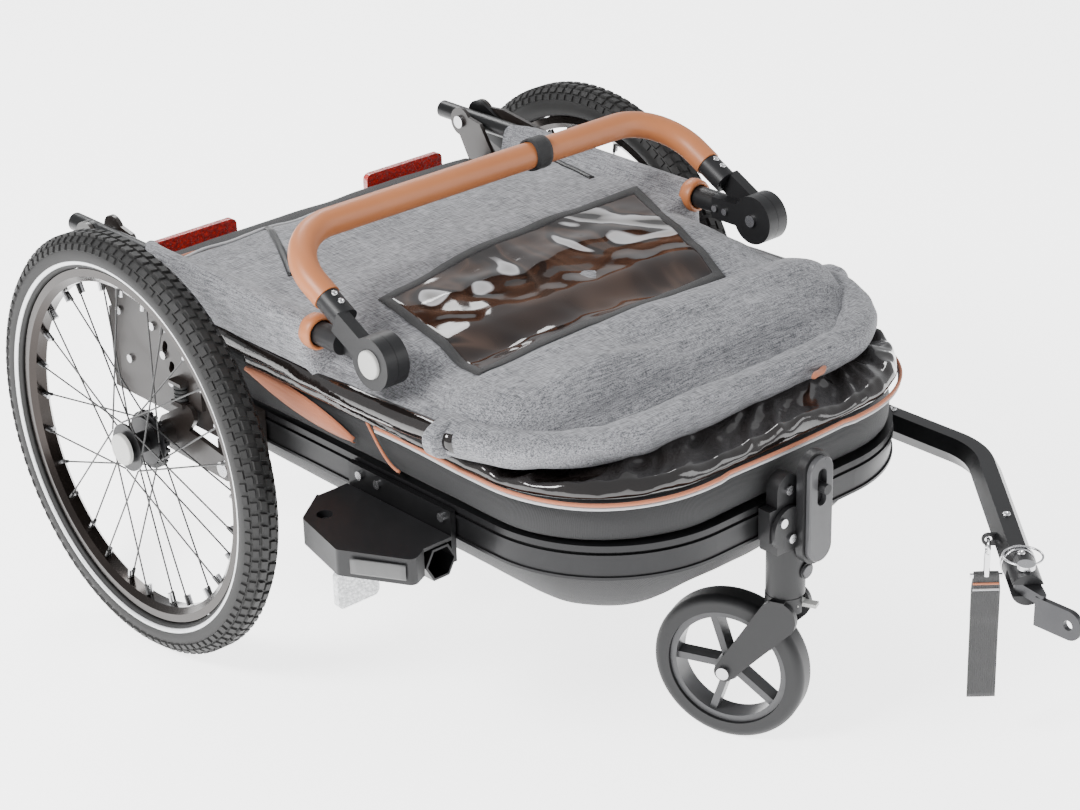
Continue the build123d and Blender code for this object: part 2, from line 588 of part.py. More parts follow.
for name, side in SIDES:
    with BuildPart() as handle_arm:
        rod_x(side * (LEG_X + 0.2), side * (LEG_X + 0.2 + KNUCKLE_HALF), 0, 0, KNUCKLE_RADIUS)
        block((side * (LEG_X + 0.2), side * (LEG_X + KNUCKLE_HALF - 0.6)), (0, ARM_SPLIT + 2),
              (-ARM_HEIGHT, ARM_HEIGHT))
        with BuildSketch(Plane.XZ.offset(-ARM_SPLIT)):
            with Locations((side * LEG_X, 0)):
                Circle(HANDLE_ARM_RADIUS)
        extrude(amount=ARM_SPLIT - HANDLE_ARM_END)
        with BuildSketch(Plane.XZ.offset(-ARM_SPLIT - 3)):
            with Locations((side * LEG_X, 0)):
                Circle(HANDLE_TUBE + FIT)
        extrude(amount=ARM_SPLIT - HANDLE_ARM_END, mode=Mode.SUBTRACT)
        rod_x(side * 286.6, side * 300, 0, 0, FOLD_BUTTON_RADIUS + GAP, Mode.SUBTRACT)
        rod_x(side * 275, side * 290, 0, 0, KNUCKLE_BOLT + FIT, Mode.SUBTRACT)
    save(handle_arm.part, f"handle_arm_{name}", handle_place)

    with BuildPart() as fold_button:
        rod_x(side * 290, side * BUTTON_FACE, 0, 0, FOLD_BUTTON_RADIUS)
        fillet(fold_button.faces().sort_by(Axis.X)[0 if side < 0 else -1].edges(), 2)
    save(fold_button.part, f"fold_button_{name}", handle_place)

# ---------------------------------------------------------------- drawbar
# Hexagonal tube with one bend. `run` is the distance along it from the corner of the bend.
DRAWBAR_WALL = 2.5
DRAWBAR_REAR = -290.0
DRAWBAR_END = 236.0
COUPLER_END = 300.0
COUPLER_RADIUS = 17.0
CLEVIS_HALF = 6.5
HITCH_PIN = 4.0
LUG_RUN = 190.0
LUG_SIDE = 22.0
drawbar_place = Location((HITCH_X, DRAWBAR_BEND_Y, 0), (0, 0, -DRAWBAR_BEND))


AHEAD = (-sin(radians(DRAWBAR_BEND)), -cos(radians(DRAWBAR_BEND)), 0)
ASIDE = (-cos(radians(DRAWBAR_BEND)), sin(radians(DRAWBAR_BEND)), 0)


def along(run, aside=0.0, z=HITCH_Z):
    """Point on the drawbar past its bend, and to the inner side of it."""
    return (HITCH_X + run * AHEAD[0] + aside * ASIDE[0],
            DRAWBAR_BEND_Y + run * AHEAD[1] + aside * ASIDE[1], z)


with BuildPart() as drawbar:
    with BuildLine(Plane.XY.offset(HITCH_Z)) as path:
        FilletPolyline((HITCH_X, DRAWBAR_REAR), (HITCH_X, DRAWBAR_BEND_Y), along(DRAWBAR_END)[:2], radius=90)
    with BuildSketch(Plane.XZ.offset(-DRAWBAR_REAR)):
        with Locations((HITCH_X, HITCH_Z)):
            RegularPolygon(DRAWBAR_FLATS / 2, 6, major_radius=False)
            RegularPolygon(DRAWBAR_FLATS / 2 - DRAWBAR_WALL, 6, major_radius=False, mode=Mode.SUBTRACT)
    sweep()
    with BuildSketch(Plane(along(LUG_RUN - 1.5), x_dir=ASIDE, z_dir=AHEAD)):
        with Locations((LUG_SIDE, 0)):
            Circle(7)
        with Locations((LUG_SIDE - 5, 0)):
            Rectangle(7, 14)
        with Locations((LUG_SIDE, 0)):
            Circle(4, mode=Mode.SUBTRACT)
    extrude(amount=3)
save(drawbar.part, "drawbar")

with BuildPart() as coupler:
    with BuildSketch(Plane.XZ.offset(DRAWBAR_END + 0.5)):
        with Locations((0, HITCH_Z)):
            Circle(COUPLER_RADIUS)
    extrude(amount=COUPLER_END - DRAWBAR_END - 0.5)
    with BuildSketch(Plane.XZ.offset(DRAWBAR_END - 36)):
        with Locations((0, HITCH_Z)):
            Circle(12)
    extrude(amount=37)
    block((-20, 20), (-COUPLER_END - 1, -HITCH_PIN_RUN + COUPLER_RADIUS),
          (HITCH_Z - CLEVIS_HALF, HITCH_Z + CLEVIS_HALF), Mode.SUBTRACT)
    rod_z(HITCH_Z - 20, HITCH_Z + 20, 0, -HITCH_PIN_RUN, HITCH_PIN + FIT, Mode.SUBTRACT)
save(coupler.part, "coupler", drawbar_place)

# The tongue is bolted to the tow vehicle's axle by its hole and turns in the coupler.
TONGUE_X = (80.0, 86.0)
TONGUE_Z = (217.0, 249.0)
TONGUE_HALF = (TONGUE_Z[1] - TONGUE_Z[0]) / 2
TONGUE_MIDDLE = (TONGUE_Z[0] + TONGUE_Z[1]) / 2
PIN_X, PIN_Y, PIN_LEVEL = along(HITCH_PIN_RUN)
with BuildPart() as tongue:
    with BuildSketch(Plane.XY.offset(HITCH_Z - CLEVIS_HALF + 0.5)):
        with BuildLine():
            CenterArc((PIN_X, PIN_Y), 12, 0, 360)
            CenterArc((TONGUE_X[0] + 3.5, -932), 3.5, 0, 360)
        make_hull()
    extrude(amount=2 * CLEVIS_HALF - 1)
    with BuildSketch(Plane.YZ.offset(TONGUE_X[0])):
        with Locations((TONGUE_TIP + TONGUE_HALF, TONGUE_MIDDLE)):
            Circle(TONGUE_HALF)
        with Locations(((TONGUE_TIP + TONGUE_HALF - 925) / 2, TONGUE_MIDDLE)):
            Rectangle(-925 - TONGUE_TIP - TONGUE_HALF, 2 * TONGUE_HALF)
    extrude(amount=TONGUE_X[1] - TONGUE_X[0])
    rod_z(HITCH_Z - 20, HITCH_Z + 20, PIN_X, PIN_Y, HITCH_PIN + FIT, Mode.SUBTRACT)
    rod_x(TONGUE_X[0] - 1, TONGUE_X[1] + 1, TONGUE_TIP + TONGUE_HALF, TONGUE_MIDDLE, TONGUE_HOLE, Mode.SUBTRACT)
save(tongue.part, "hitch_tongue")

with BuildPart() as hitch_pin:
    rod_z(228, 265, 0, -HITCH_PIN_RUN, HITCH_PIN)
    rod_z(264.4, 269, 0, -HITCH_PIN_RUN, 9)
    with Locations((0, -HITCH_PIN_RUN + 19.5, 267.5)):
        Torus(20, 1.2)
save(hitch_pin.part, "hitch_pin", drawbar_place)

HOOK_RING = 8.0
HOOK_BAR = 204.0
with BuildPart() as hook:
    with Locations((-LUG_SIDE, -LUG_RUN, HITCH_Z - HOOK_RING)):
        Torus(HOOK_RING, 2, rotation=(0, 90, 0))
    rod_z(HOOK_BAR, HITCH_Z - 2 * HOOK_RING, -LUG_SIDE, -LUG_RUN, 3.5)
    block((-LUG_SIDE - 17, -LUG_SIDE + 17), (-LUG_RUN - 2, -LUG_RUN + 2), (HOOK_BAR - 2, HOOK_BAR + 2))
save(hook.part, "snap_hook", drawbar_place)

STRAP_END = 60.0
with BuildPart() as strap:
    block((-LUG_SIDE - 15, -LUG_SIDE + 15), (-LUG_RUN - 2.5, -LUG_RUN + 2.5), (STRAP_END, HOOK_BAR - 2.4))
save(strap.part, "safety_strap", drawbar_place)

# ---------------------------------------------------------------- caster
# Drawn in the fork's own frame: the steering axis is the Z axis and the wheel trails along +Y.
FORK_TOP = 184.5
FORK_CAP = 166.0
BLADE = (19.0, 26.0)
CASTER_HALF = 17.0
CASTER_RIM = 66.7
CASTER_AXLE = 4.0
LEVER_Y = -17.0
LEVER_Z = 175.0
caster_place = Location((0, STEM_Y, 0), (0, 0, CASTER_TURN))
with BuildPart() as fork:
    rod_z(FORK_CAP, FORK_TOP, 0, 0, STEM_RADIUS + 0.5)
    block((-BLADE[1], BLADE[1]), (-8, 8), (FORK_CAP, FORK_TOP - 1))
    rod_z(FORK_CAP, STEM_BOTTOM + 45, 0, 0, 8)
    for name, side in SIDES:
        lobes(Plane.YZ.offset(side * BLADE[0]), ((0, FORK_TOP - 22, 21), (CASTER_TRAIL, CASTER_RADIUS, 11)),
              side * (BLADE[1] - BLADE[0]))
    rod_x(-30, 30, CASTER_TRAIL, CASTER_RADIUS, CASTER_AXLE + FIT, Mode.SUBTRACT)
    block((-5.6, 5.6), (LEVER_Y + 5, -30), (FORK_CAP - 1, FORK_TOP + 1), Mode.SUBTRACT)
    rod_x(-12, 12, LEVER_Y, LEVER_Z, 2 + FIT, Mode.SUBTRACT)
save(fork.part, "caster_fork", caster_place)

with BuildPart() as lever:
    rod_x(-5, 5, LEVER_Y, LEVER_Z, 4)
    rod_x(-11, 11, LEVER_Y, LEVER_Z, 2)
    block((-5, 5), (-36, LEVER_Y), (LEVER_Z - 2, LEVER_Z + 2))
save(lever.part, "swivel_lever", caster_place)

with BuildPart() as caster_axle:
    rod_x(-26.2, 26.2, CASTER_TRAIL, CASTER_RADIUS, CASTER_AXLE)
    for name, side in SIDES:
        rod_x(side * 26.2, side * 30, CASTER_TRAIL, CASTER_RADIUS, 7)
save(caster_axle.part, "caster_axle", caster_place)

with BuildPart() as caster_tyre:
    rod_x(-CASTER_HALF, CASTER_HALF, CASTER_TRAIL, CASTER_RADIUS, CASTER_RADIUS)
    fillet(caster_tyre.edges(), 9)
    rod_x(-CASTER_HALF, CASTER_HALF, CASTER_TRAIL, CASTER_RADIUS, CASTER_RIM + 0.3, Mode.SUBTRACT)
save(caster_tyre.part, "caster_tyre", caster_place)

with BuildPart() as caster_rim:
    rod_x(-13, 13, CASTER_TRAIL, CASTER_RADIUS, CASTER_RIM)
    rod_x(-14, 14, CASTER_TRAIL, CASTER_RADIUS, CASTER_RIM - 7, Mode.SUBTRACT)
    rod_x(-16, 16, CASTER_TRAIL, CASTER_RADIUS, 14)
    for index in range(5):
        turn = 72.0 * index
        with Locations((0, CASTER_TRAIL + 37 * cos(radians(turn)), CASTER_RADIUS + 37 * sin(radians(turn)))):
            Box(18, 52, 8, rotation=(turn, 0, 0))
    rod_x(-17, 17, CASTER_TRAIL, CASTER_RADIUS, CASTER_AXLE + FIT, Mode.SUBTRACT)
save(caster_rim.part, "caster_rim", caster_place)
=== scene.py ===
import bmesh
import bpy
from math import cos, exp, pi, radians, sin, sqrt
from mathutils import Matrix, Vector, noise


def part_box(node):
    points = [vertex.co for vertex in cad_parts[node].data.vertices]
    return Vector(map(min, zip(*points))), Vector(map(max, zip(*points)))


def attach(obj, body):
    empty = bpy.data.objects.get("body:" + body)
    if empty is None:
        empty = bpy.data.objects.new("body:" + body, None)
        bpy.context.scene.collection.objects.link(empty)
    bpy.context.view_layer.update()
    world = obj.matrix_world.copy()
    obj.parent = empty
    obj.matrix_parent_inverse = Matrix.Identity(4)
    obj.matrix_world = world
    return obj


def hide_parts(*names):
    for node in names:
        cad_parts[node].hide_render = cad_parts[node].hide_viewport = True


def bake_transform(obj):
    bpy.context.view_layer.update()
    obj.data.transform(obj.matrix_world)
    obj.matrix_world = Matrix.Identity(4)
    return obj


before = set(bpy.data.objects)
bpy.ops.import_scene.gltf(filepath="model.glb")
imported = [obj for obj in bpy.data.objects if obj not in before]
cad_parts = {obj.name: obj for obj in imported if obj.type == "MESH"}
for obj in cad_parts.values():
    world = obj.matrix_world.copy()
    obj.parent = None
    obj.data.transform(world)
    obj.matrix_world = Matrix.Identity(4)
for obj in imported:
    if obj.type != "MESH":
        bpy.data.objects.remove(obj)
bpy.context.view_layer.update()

# ------------------------------------------------------------------ stage, light and camera
# A pale studio floor under three large soft lamps, and a long lens that looks down on the
# trailer from its front right corner.
floor_mesh = bpy.data.meshes.new("floor")
floor_mesh.from_pydata([(-9, -9, 0), (9, -9, 0), (9, 9, 0), (-9, 9, 0)], [], [(0, 1, 2, 3)])
paper = bpy.data.materials.new("paper")
paper.use_nodes = True
paper_shader = paper.node_tree.nodes["Principled BSDF"]
paper_shader.inputs["Base Color"].default_value = (0.93, 0.93, 0.925, 1)
paper_shader.inputs["Roughness"].default_value = 0.9
paper_shader.inputs["Emission Color"].default_value = (1, 1, 1, 1)
paper_shader.inputs["Emission Strength"].default_value = 3.0
floor_mesh.materials.append(paper)
floor = bpy.data.objects.new("floor", floor_mesh)
bpy.context.scene.collection.objects.link(floor)

world = bpy.data.worlds.new("studio")
world.use_nodes = True
sky = world.node_tree.nodes["Background"]
sky.inputs["Color"].default_value = (0.97, 0.98, 1.0, 1)
sky.inputs["Strength"].default_value = 0.85
bpy.context.scene.world = world


def lamp(name, place, target, size, watts):
    """Rectangular soft lamp that points at a target."""
    light = bpy.data.lights.new(name, "AREA")
    light.shape = "RECTANGLE"
    light.size = size
    light.size_y = size * 0.6
    light.energy = watts
    holder = bpy.data.objects.new(name, light)
    bpy.context.scene.collection.objects.link(holder)
    holder.location = place
    holder.rotation_euler = (Vector(target) - Vector(place)).to_track_quat("-Z", "Y").to_euler()


lamp("key_light", (-2.6, 0.4, 2.4), (0, 0, 0.3), 1.3, 150)
lamp("back_light", (1.2, 2.6, 2.6), (0, 0, 0.3), 1.5, 60)
lamp("front_light", (1.8, -2.8, 1.6), (0, -0.2, 0.3), 1.8, 28)

CAMERA_PLACE = (-1.7789, -1.9251, 1.5322)
CAMERA_HEADING = -41.578
CAMERA_DOWN = 25.142
CAMERA_ROLL = -1.594
camera = bpy.data.objects.new("camera", bpy.data.cameras.new("camera"))
bpy.context.scene.collection.objects.link(camera)
camera.data.sensor_width = 36
camera.data.lens = 87.21
camera.matrix_world = (Matrix.Translation(CAMERA_PLACE)
                       @ Matrix.Rotation(radians(CAMERA_HEADING), 4, "Z")
                       @ Matrix.Rotation(radians(90 - CAMERA_DOWN), 4, "X")
                       @ Matrix.Rotation(radians(CAMERA_ROLL), 4, "Z"))
bpy.context.scene.camera = camera

# ------------------------------------------------------------------ anodised frame
# Aluminium tubes and the bent rail, bead blasted and anodised black. The finish has a fine grain,
# faint rubbed marks and a satin sheen.


class Amount:
    """A number that varies over a surface. Sums written with it add Math nodes."""

    def __init__(self, finish, socket):
        self.finish = finish
        self.socket = socket

    def combine(self, operation, first, second):
        return self.finish.node("ShaderNodeMath", {"operation": operation}, {0: first, 1: second})

    def __add__(self, other):
        return self.combine("ADD", self, other)

    def __sub__(self, other):
        return self.combine("SUBTRACT", self, other)

    def __mul__(self, other):
        return self.combine("MULTIPLY", self, other)


class Finish:
    """A material on a Principled shader, built up node by node."""

    def __init__(self, name, **constants):
        self.material = bpy.data.materials.new(name)
        self.material.use_nodes = True
        self.tree = self.material.node_tree
        self.shader = self.tree.nodes["Principled BSDF"]
        for key, value in constants.items():
            self.shader.inputs[key.replace("_", " ")].default_value = value

    def node(self, kind, settings=None, sockets=None, out=0):
        """Add a node; an Amount among the sockets is linked and anything else is set."""
        made = self.tree.nodes.new(kind)
        for key, value in (settings or {}).items():
            if key == "stops":
                made.color_ramp.elements.remove(made.color_ramp.elements[1])
                for index, (place, colour) in enumerate(value):
                    elements = made.color_ramp.elements
                    stop = elements[0] if index == 0 else elements.new(place)
                    stop.position = place
                    stop.color = (*colour, 1)
            else:
                setattr(made, key, value)
        for key, value in (sockets or {}).items():
            if isinstance(value, Amount):
                self.tree.links.new(value.socket, made.inputs[key])
            else:
                made.inputs[key].default_value = value
        return Amount(self, made.outputs[out])

    def place(self, scale=(1, 1, 1), turn=(0, 0, 0)):
        """Object coordinates, stretched and turned."""
        return self.node("ShaderNodeMapping", {}, {
            "Vector": self.node("ShaderNodeTexCoord", out="Object"), "Scale": scale, "Rotation": turn})

    def grain(self, scale, detail=2.0, vector=None, rough=0.5):
        """Cloudy noise from 0 to 1."""
        return self.node("ShaderNodeTexNoise", {}, {
            "Vector": vector or self.place(), "Scale": scale, "Detail": detail, "Roughness": rough})

    def mix(self, factor, first, second):
        """Colour between two, by a factor."""
        return self.node("ShaderNodeMix", {"data_type": "RGBA"}, {
            0: factor, 6: (*first, 1), 7: (*second, 1)}, out=2)

    def feed(self, **inputs):
        """Link amounts to the shader's inputs."""
        for key, value in inputs.items():
            self.tree.links.new(value.socket, self.shader.inputs[key.replace("_", " ")])
        return self

    def bump(self, height, strength, distance):
        """Relief in the normal; distance is the full height in metres."""
        self.feed(Normal=self.node("ShaderNodeBump", {}, {
            "Height": height, "Strength": strength, "Distance": distance}))
        return self


def metal_finish(name, dark, light, roughness, metallic, grain_scale=900, bump=0.15, coat=0.0):
    """Bare or coated metal with rubbed marks and a fine grain."""
    finish = Finish(name, Metallic=metallic, Coat_Weight=coat, Coat_Roughness=0.12)
    marks = finish.grain(14, 6, rough=0.7)
    fine = finish.grain(grain_scale, 2)
    finish.feed(Base_Color=finish.mix(marks, dark, light), Roughness=marks * 0.16 + (roughness - 0.08))
    return finish.bump(fine, bump, 0.0002)


def paint(nodes, finish):
    """Give CAD nodes a finish."""
    for name in nodes:
        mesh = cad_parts[name].data
        mesh.materials.clear()
        mesh.materials.append(finish.material)


anodised = metal_finish("anodised", (0.006, 0.006, 0.0065), (0.018, 0.018, 0.019), 0.33, 0.6)
paint(("frame_rail", "rear_crossbar", "drawbar_socket_right", "drawbar_socket_left", "leg_right",
       "leg_left", "bow", "handle_tube", "drawbar", "hub_right", "hub_left"), anodised)

# ------------------------------------------------------------------ painted castings
# The side brackets and swing arms: cast and pressed, painted a warm black with a faint orange peel.
bracket_paint = metal_finish("bracket_paint", (0.009, 0.007, 0.006), (0.020, 0.015, 0.013), 0.36, 0.1,
                             grain_scale=160, bump=0.25, coat=0.15)
paint(("side_bracket_right", "side_bracket_left", "swing_arm_right", "swing_arm_left"), bracket_paint)

# ------------------------------------------------------------------ moulded black plastic
# Glass filled nylon: knuckles, bumpers, the caster's fork, the front bracket. Fine spark texture.


def plastic_finish(name, dark, light, roughness, texture=1200, depth=0.35):
    """Moulded plastic or rubber with a fine spark texture."""
    finish = Finish(name, Specular_IOR_Level=0.32)
    mottle = finish.grain(22, 4, rough=0.65)
    spark = finish.grain(texture, 3)
    finish.feed(Base_Color=finish.mix(mottle, dark, light), Roughness=mottle * 0.14 + (roughness - 0.07))
    return finish.bump(spark, depth, 0.0003)


black_plastic = plastic_finish("black_plastic", (0.006, 0.006, 0.0065), (0.015, 0.015, 0.016), 0.42)
paint(("leg_arm_right", "leg_arm_left", "handle_arm_right", "handle_arm_left", "side_bumper_right",
       "side_bumper_left", "front_bracket", "caster_stem", "caster_fork", "coupler",
       "brake_ring_right", "brake_ring_left"), black_plastic)
spring_rubber = plastic_finish("spring_rubber", (0.010, 0.010, 0.010), (0.022, 0.022, 0.022), 0.6)
paint(("spring_right", "spring_left"), spring_rubber)

# ------------------------------------------------------------------ grey plastic
# Buttons, hub caps, the caster's rim and the swivel lever, moulded in light warm grey.
grey_plastic = plastic_finish("grey_plastic", (0.40, 0.40, 0.385), (0.50, 0.50, 0.48), 0.42, 1500, 0.2)
paint(("axle_right", "axle_left", "fold_button_right", "fold_button_left", "swivel_lever"), grey_plastic)
dark_grey = plastic_finish("dark_grey_plastic", (0.045, 0.045, 0.047), (0.075, 0.075, 0.078), 0.30,
                           1500, 0.15)
paint(("release_plate", "stem_button", "caster_rim"), dark_grey)

# ------------------------------------------------------------------ bright steel
# Screws, spokes' nipples, the hitch pin and tongue: zinc plated or polished.
steel = metal_finish("steel", (0.40, 0.40, 0.41), (0.62, 0.62, 0.63), 0.26, 1.0, 500, 0.12)
paint(("frame_fasteners", "knuckle_screws", "hitch_pin", "caster_axle"), steel)
polished = metal_finish("polished_steel", (0.55, 0.55, 0.56), (0.70, 0.70, 0.71), 0.14, 1.0, 400, 0.05)
paint(("snap_hook",), polished)
tongue_finish = metal_finish("tongue_steel", (0.03, 0.03, 0.032), (0.07, 0.07, 0.073), 0.34, 0.8, 500, 0.1)
paint(("hitch_tongue",), tongue_finish)

# ------------------------------------------------------------------ wheels
# 20 inch wheels: bronze black rims, black crossed spokes with silver nipples, and block tread
# tyres with a reflecting band on the outer wall.
AXLE = Vector([(low + high) / 2 for low, high in zip(*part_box("tyre_left"))])
WHEEL_Y = AXLE.y
WHEEL_Z = AXLE.z
SIDES = (("right", -1), ("left", 1))
TYRE_OUTER = 0.250
TYRE_ROUND = 0.0235
TREAD = 0.0026
SPOKES = 28
TREAD_BLOCKS = 104

rim_finish = metal_finish("rim_bronze", (0.010, 0.0075, 0.006), (0.026, 0.019, 0.016), 0.22, 0.85,
                          grain_scale=300, bump=0.05, coat=0.3)
paint(("rim_right", "rim_left"), rim_finish)
spoke_finish = metal_finish("spoke_black", (0.015, 0.015, 0.015), (0.05, 0.05, 0.05), 0.3, 0.6)
paint(("spokes_right", "spokes_left"), spoke_finish)

rubber = plastic_finish("tyre_rubber", (0.008, 0.008, 0.008), (0.018, 0.0175, 0.017), 0.60, 700, 0.3)
band = Finish("reflecting_band", Metallic=0.35, Specular_IOR_Level=0.6)
weave = band.node("ShaderNodeTexVoronoi", {}, {"Vector": band.place(), "Scale": 900.0})
band.feed(Base_Color=band.mix(weave, (0.55, 0.56, 0.57), (0.78, 0.79, 0.80)), Roughness=weave * 0.2 + 0.3)


def add_piece(name, verts, faces, finish, smooth=True):
    """A new object from points and faces, at the origin, with one finish."""
    mesh = bpy.data.meshes.new(name)
    mesh.from_pydata([tuple(v) for v in verts], [], faces)
    mesh.validate()
    mesh.polygons.foreach_set("use_smooth", [smooth] * len(mesh.polygons))
    made = bpy.data.objects.new(name, mesh)
    bpy.context.scene.collection.objects.link(made)
    mesh.materials.append(finish.material)
    return made


def grid_faces(rows, columns, wrap_rows=False, wrap_columns=False):
    """Faces of a grid of points, joined to its start in either direction if asked."""
    faces = []
    for i in range(rows if wrap_rows else rows - 1):
        for j in range(columns if wrap_columns else columns - 1):
            k, m = (i + 1) % rows, (j + 1) % columns
            faces.append((i * columns + j, i * columns + m, k * columns + m, k * columns + j))
    return faces


def outward(piece):
    """Recalculate the normals of a closed piece so that they point out."""
    shell = bmesh.new()
    shell.from_mesh(piece.data)
    bmesh.ops.recalc_face_normals(shell, faces=shell.faces)
    shell.to_mesh(piece.data)
    shell.free()
    return piece


def tube_faces(rows, columns):
    """Faces of a tube of closed loops, with a cap on each end."""
    faces = grid_faces(rows, columns, False, True)
    faces += [tuple(range(columns)), tuple(range((rows - 1) * columns, rows * columns))[::-1]]
    return faces


def settle(piece):
    """Turn the piece with its modifiers into a plain mesh."""
    mesh = bpy.data.meshes.new_from_object(piece.evaluated_get(bpy.context.evaluated_depsgraph_get()))
    piece.modifiers.clear()
    piece.data = mesh
    return piece


def smoothed(piece):
    """Subdivide the piece once, with the same level in the render."""
    piece.modifiers.new("smooth", "SUBSURF").levels = 1
    piece.modifiers["smooth"].render_levels = 1
    return settle(piece)


def lathe(name, profile, centre_x, finish, turns=96):
    """Ring round the wheel axle; the profile is a closed loop of (across, radius)."""
    verts = []
    for i in range(turns):
        angle = 2 * pi * i / turns
        for across, radius in profile:
            y, z = WHEEL_Y + radius * cos(angle), WHEEL_Z + radius * sin(angle)
            verts.append((centre_x + across, y, z))
    return outward(add_piece(name, verts, grid_faces(turns, len(profile), True, True), finish))


ring_tree = bpy.data.node_groups.new("Copies in a ring", "GeometryNodeTree")
for label, kind in (("Piece", "NodeSocketGeometry"), ("Count", "NodeSocketInt"),
                    ("Radius", "NodeSocketFloat"), ("Finish", "NodeSocketMaterial")):
    ring_tree.interface.new_socket(label, in_out="INPUT", socket_type=kind)
ring_tree.interface.new_socket("Ring", in_out="OUTPUT", socket_type="NodeSocketGeometry")
ring_in = ring_tree.nodes.new("NodeGroupInput")
ring_out = ring_tree.nodes.new("NodeGroupOutput")
circle = ring_tree.nodes.new("GeometryNodeMeshCircle")
where = ring_tree.nodes.new("GeometryNodeInputPosition")
face_out = ring_tree.nodes.new("FunctionNodeAlignEulerToVector")
face_out.axis = "X"
face_out.pivot_axis = "Z"
copies = ring_tree.nodes.new("GeometryNodeInstanceOnPoints")
real = ring_tree.nodes.new("GeometryNodeRealizeInstances")
dress = ring_tree.nodes.new("GeometryNodeSetMaterial")
for source, output, target, entry in (
        (ring_in, "Count", circle, "Vertices"),
        (ring_in, "Radius", circle, "Radius"),
        (circle, "Mesh", copies, "Points"),
        (ring_in, "Piece", copies, "Instance"),
        (where, "Position", face_out, "Vector"),
        (face_out, "Rotation", copies, "Rotation"),
        (copies, "Instances", real, "Geometry"),
        (real, "Geometry", dress, "Geometry"),
        (ring_in, "Finish", dress, "Material"),
        (dress, "Geometry", ring_out, "Ring")):
    ring_tree.links.new(source.outputs[output], target.inputs[entry])
RING_INPUT = {}
for item in ring_tree.interface.items_tree:
    if item.in_out == "INPUT":
        RING_INPUT[item.name] = item.identifier


def ring_of(name, verts, faces, finish, count, radius, centre, phase=0.0):
    """Copies of a small piece round the wheel axle. It is drawn with +X outwards and Z across."""
    made = add_piece(name, verts, faces, finish, smooth=False)
    around = made.modifiers.new("ring", "NODES")
    around.node_group = ring_tree
    around[RING_INPUT["Count"]] = count
    around[RING_INPUT["Radius"]] = radius
    around[RING_INPUT["Finish"]] = finish.material
    settle(made)
    made.data.transform(Matrix.Translation(centre) @ Matrix.Rotation(pi / 2, 4, "Y")
                        @ Matrix.Rotation(phase, 4, "Z"))
    return outward(made)


def join(name, pieces):
    """One object out of several."""
    shell = bmesh.new()
    for piece in pieces:
        shell.from_mesh(piece.data)
    mesh = bpy.data.meshes.new(name)
    shell.to_mesh(mesh)
    shell.free()
    mesh.materials.append(pieces[0].data.materials[0])
    made = bpy.data.objects.new(name, mesh)
    bpy.context.scene.collection.objects.link(made)
    for piece in pieces:
        bpy.data.objects.remove(piece)
    return made


def wedge(depth, width, length, taper=0.75, slant=0.0):
    """Small block, +X out, Z across, Y round the wheel; its top is narrower than its foot."""
    verts = []
    for x, share in ((-depth, 1.0), (0.0, taper)):
        for y, z in ((-1, -1), (1, -1), (1, 1), (-1, 1)):
            verts.append((x, (y * length / 2) * share + z * slant, z * width / 2 * share))
    return verts, [(0, 3, 2, 1), (4, 5, 6, 7), (0, 1, 5, 4), (1, 2, 6, 5), (2, 3, 7, 6), (3, 0, 4, 7)]


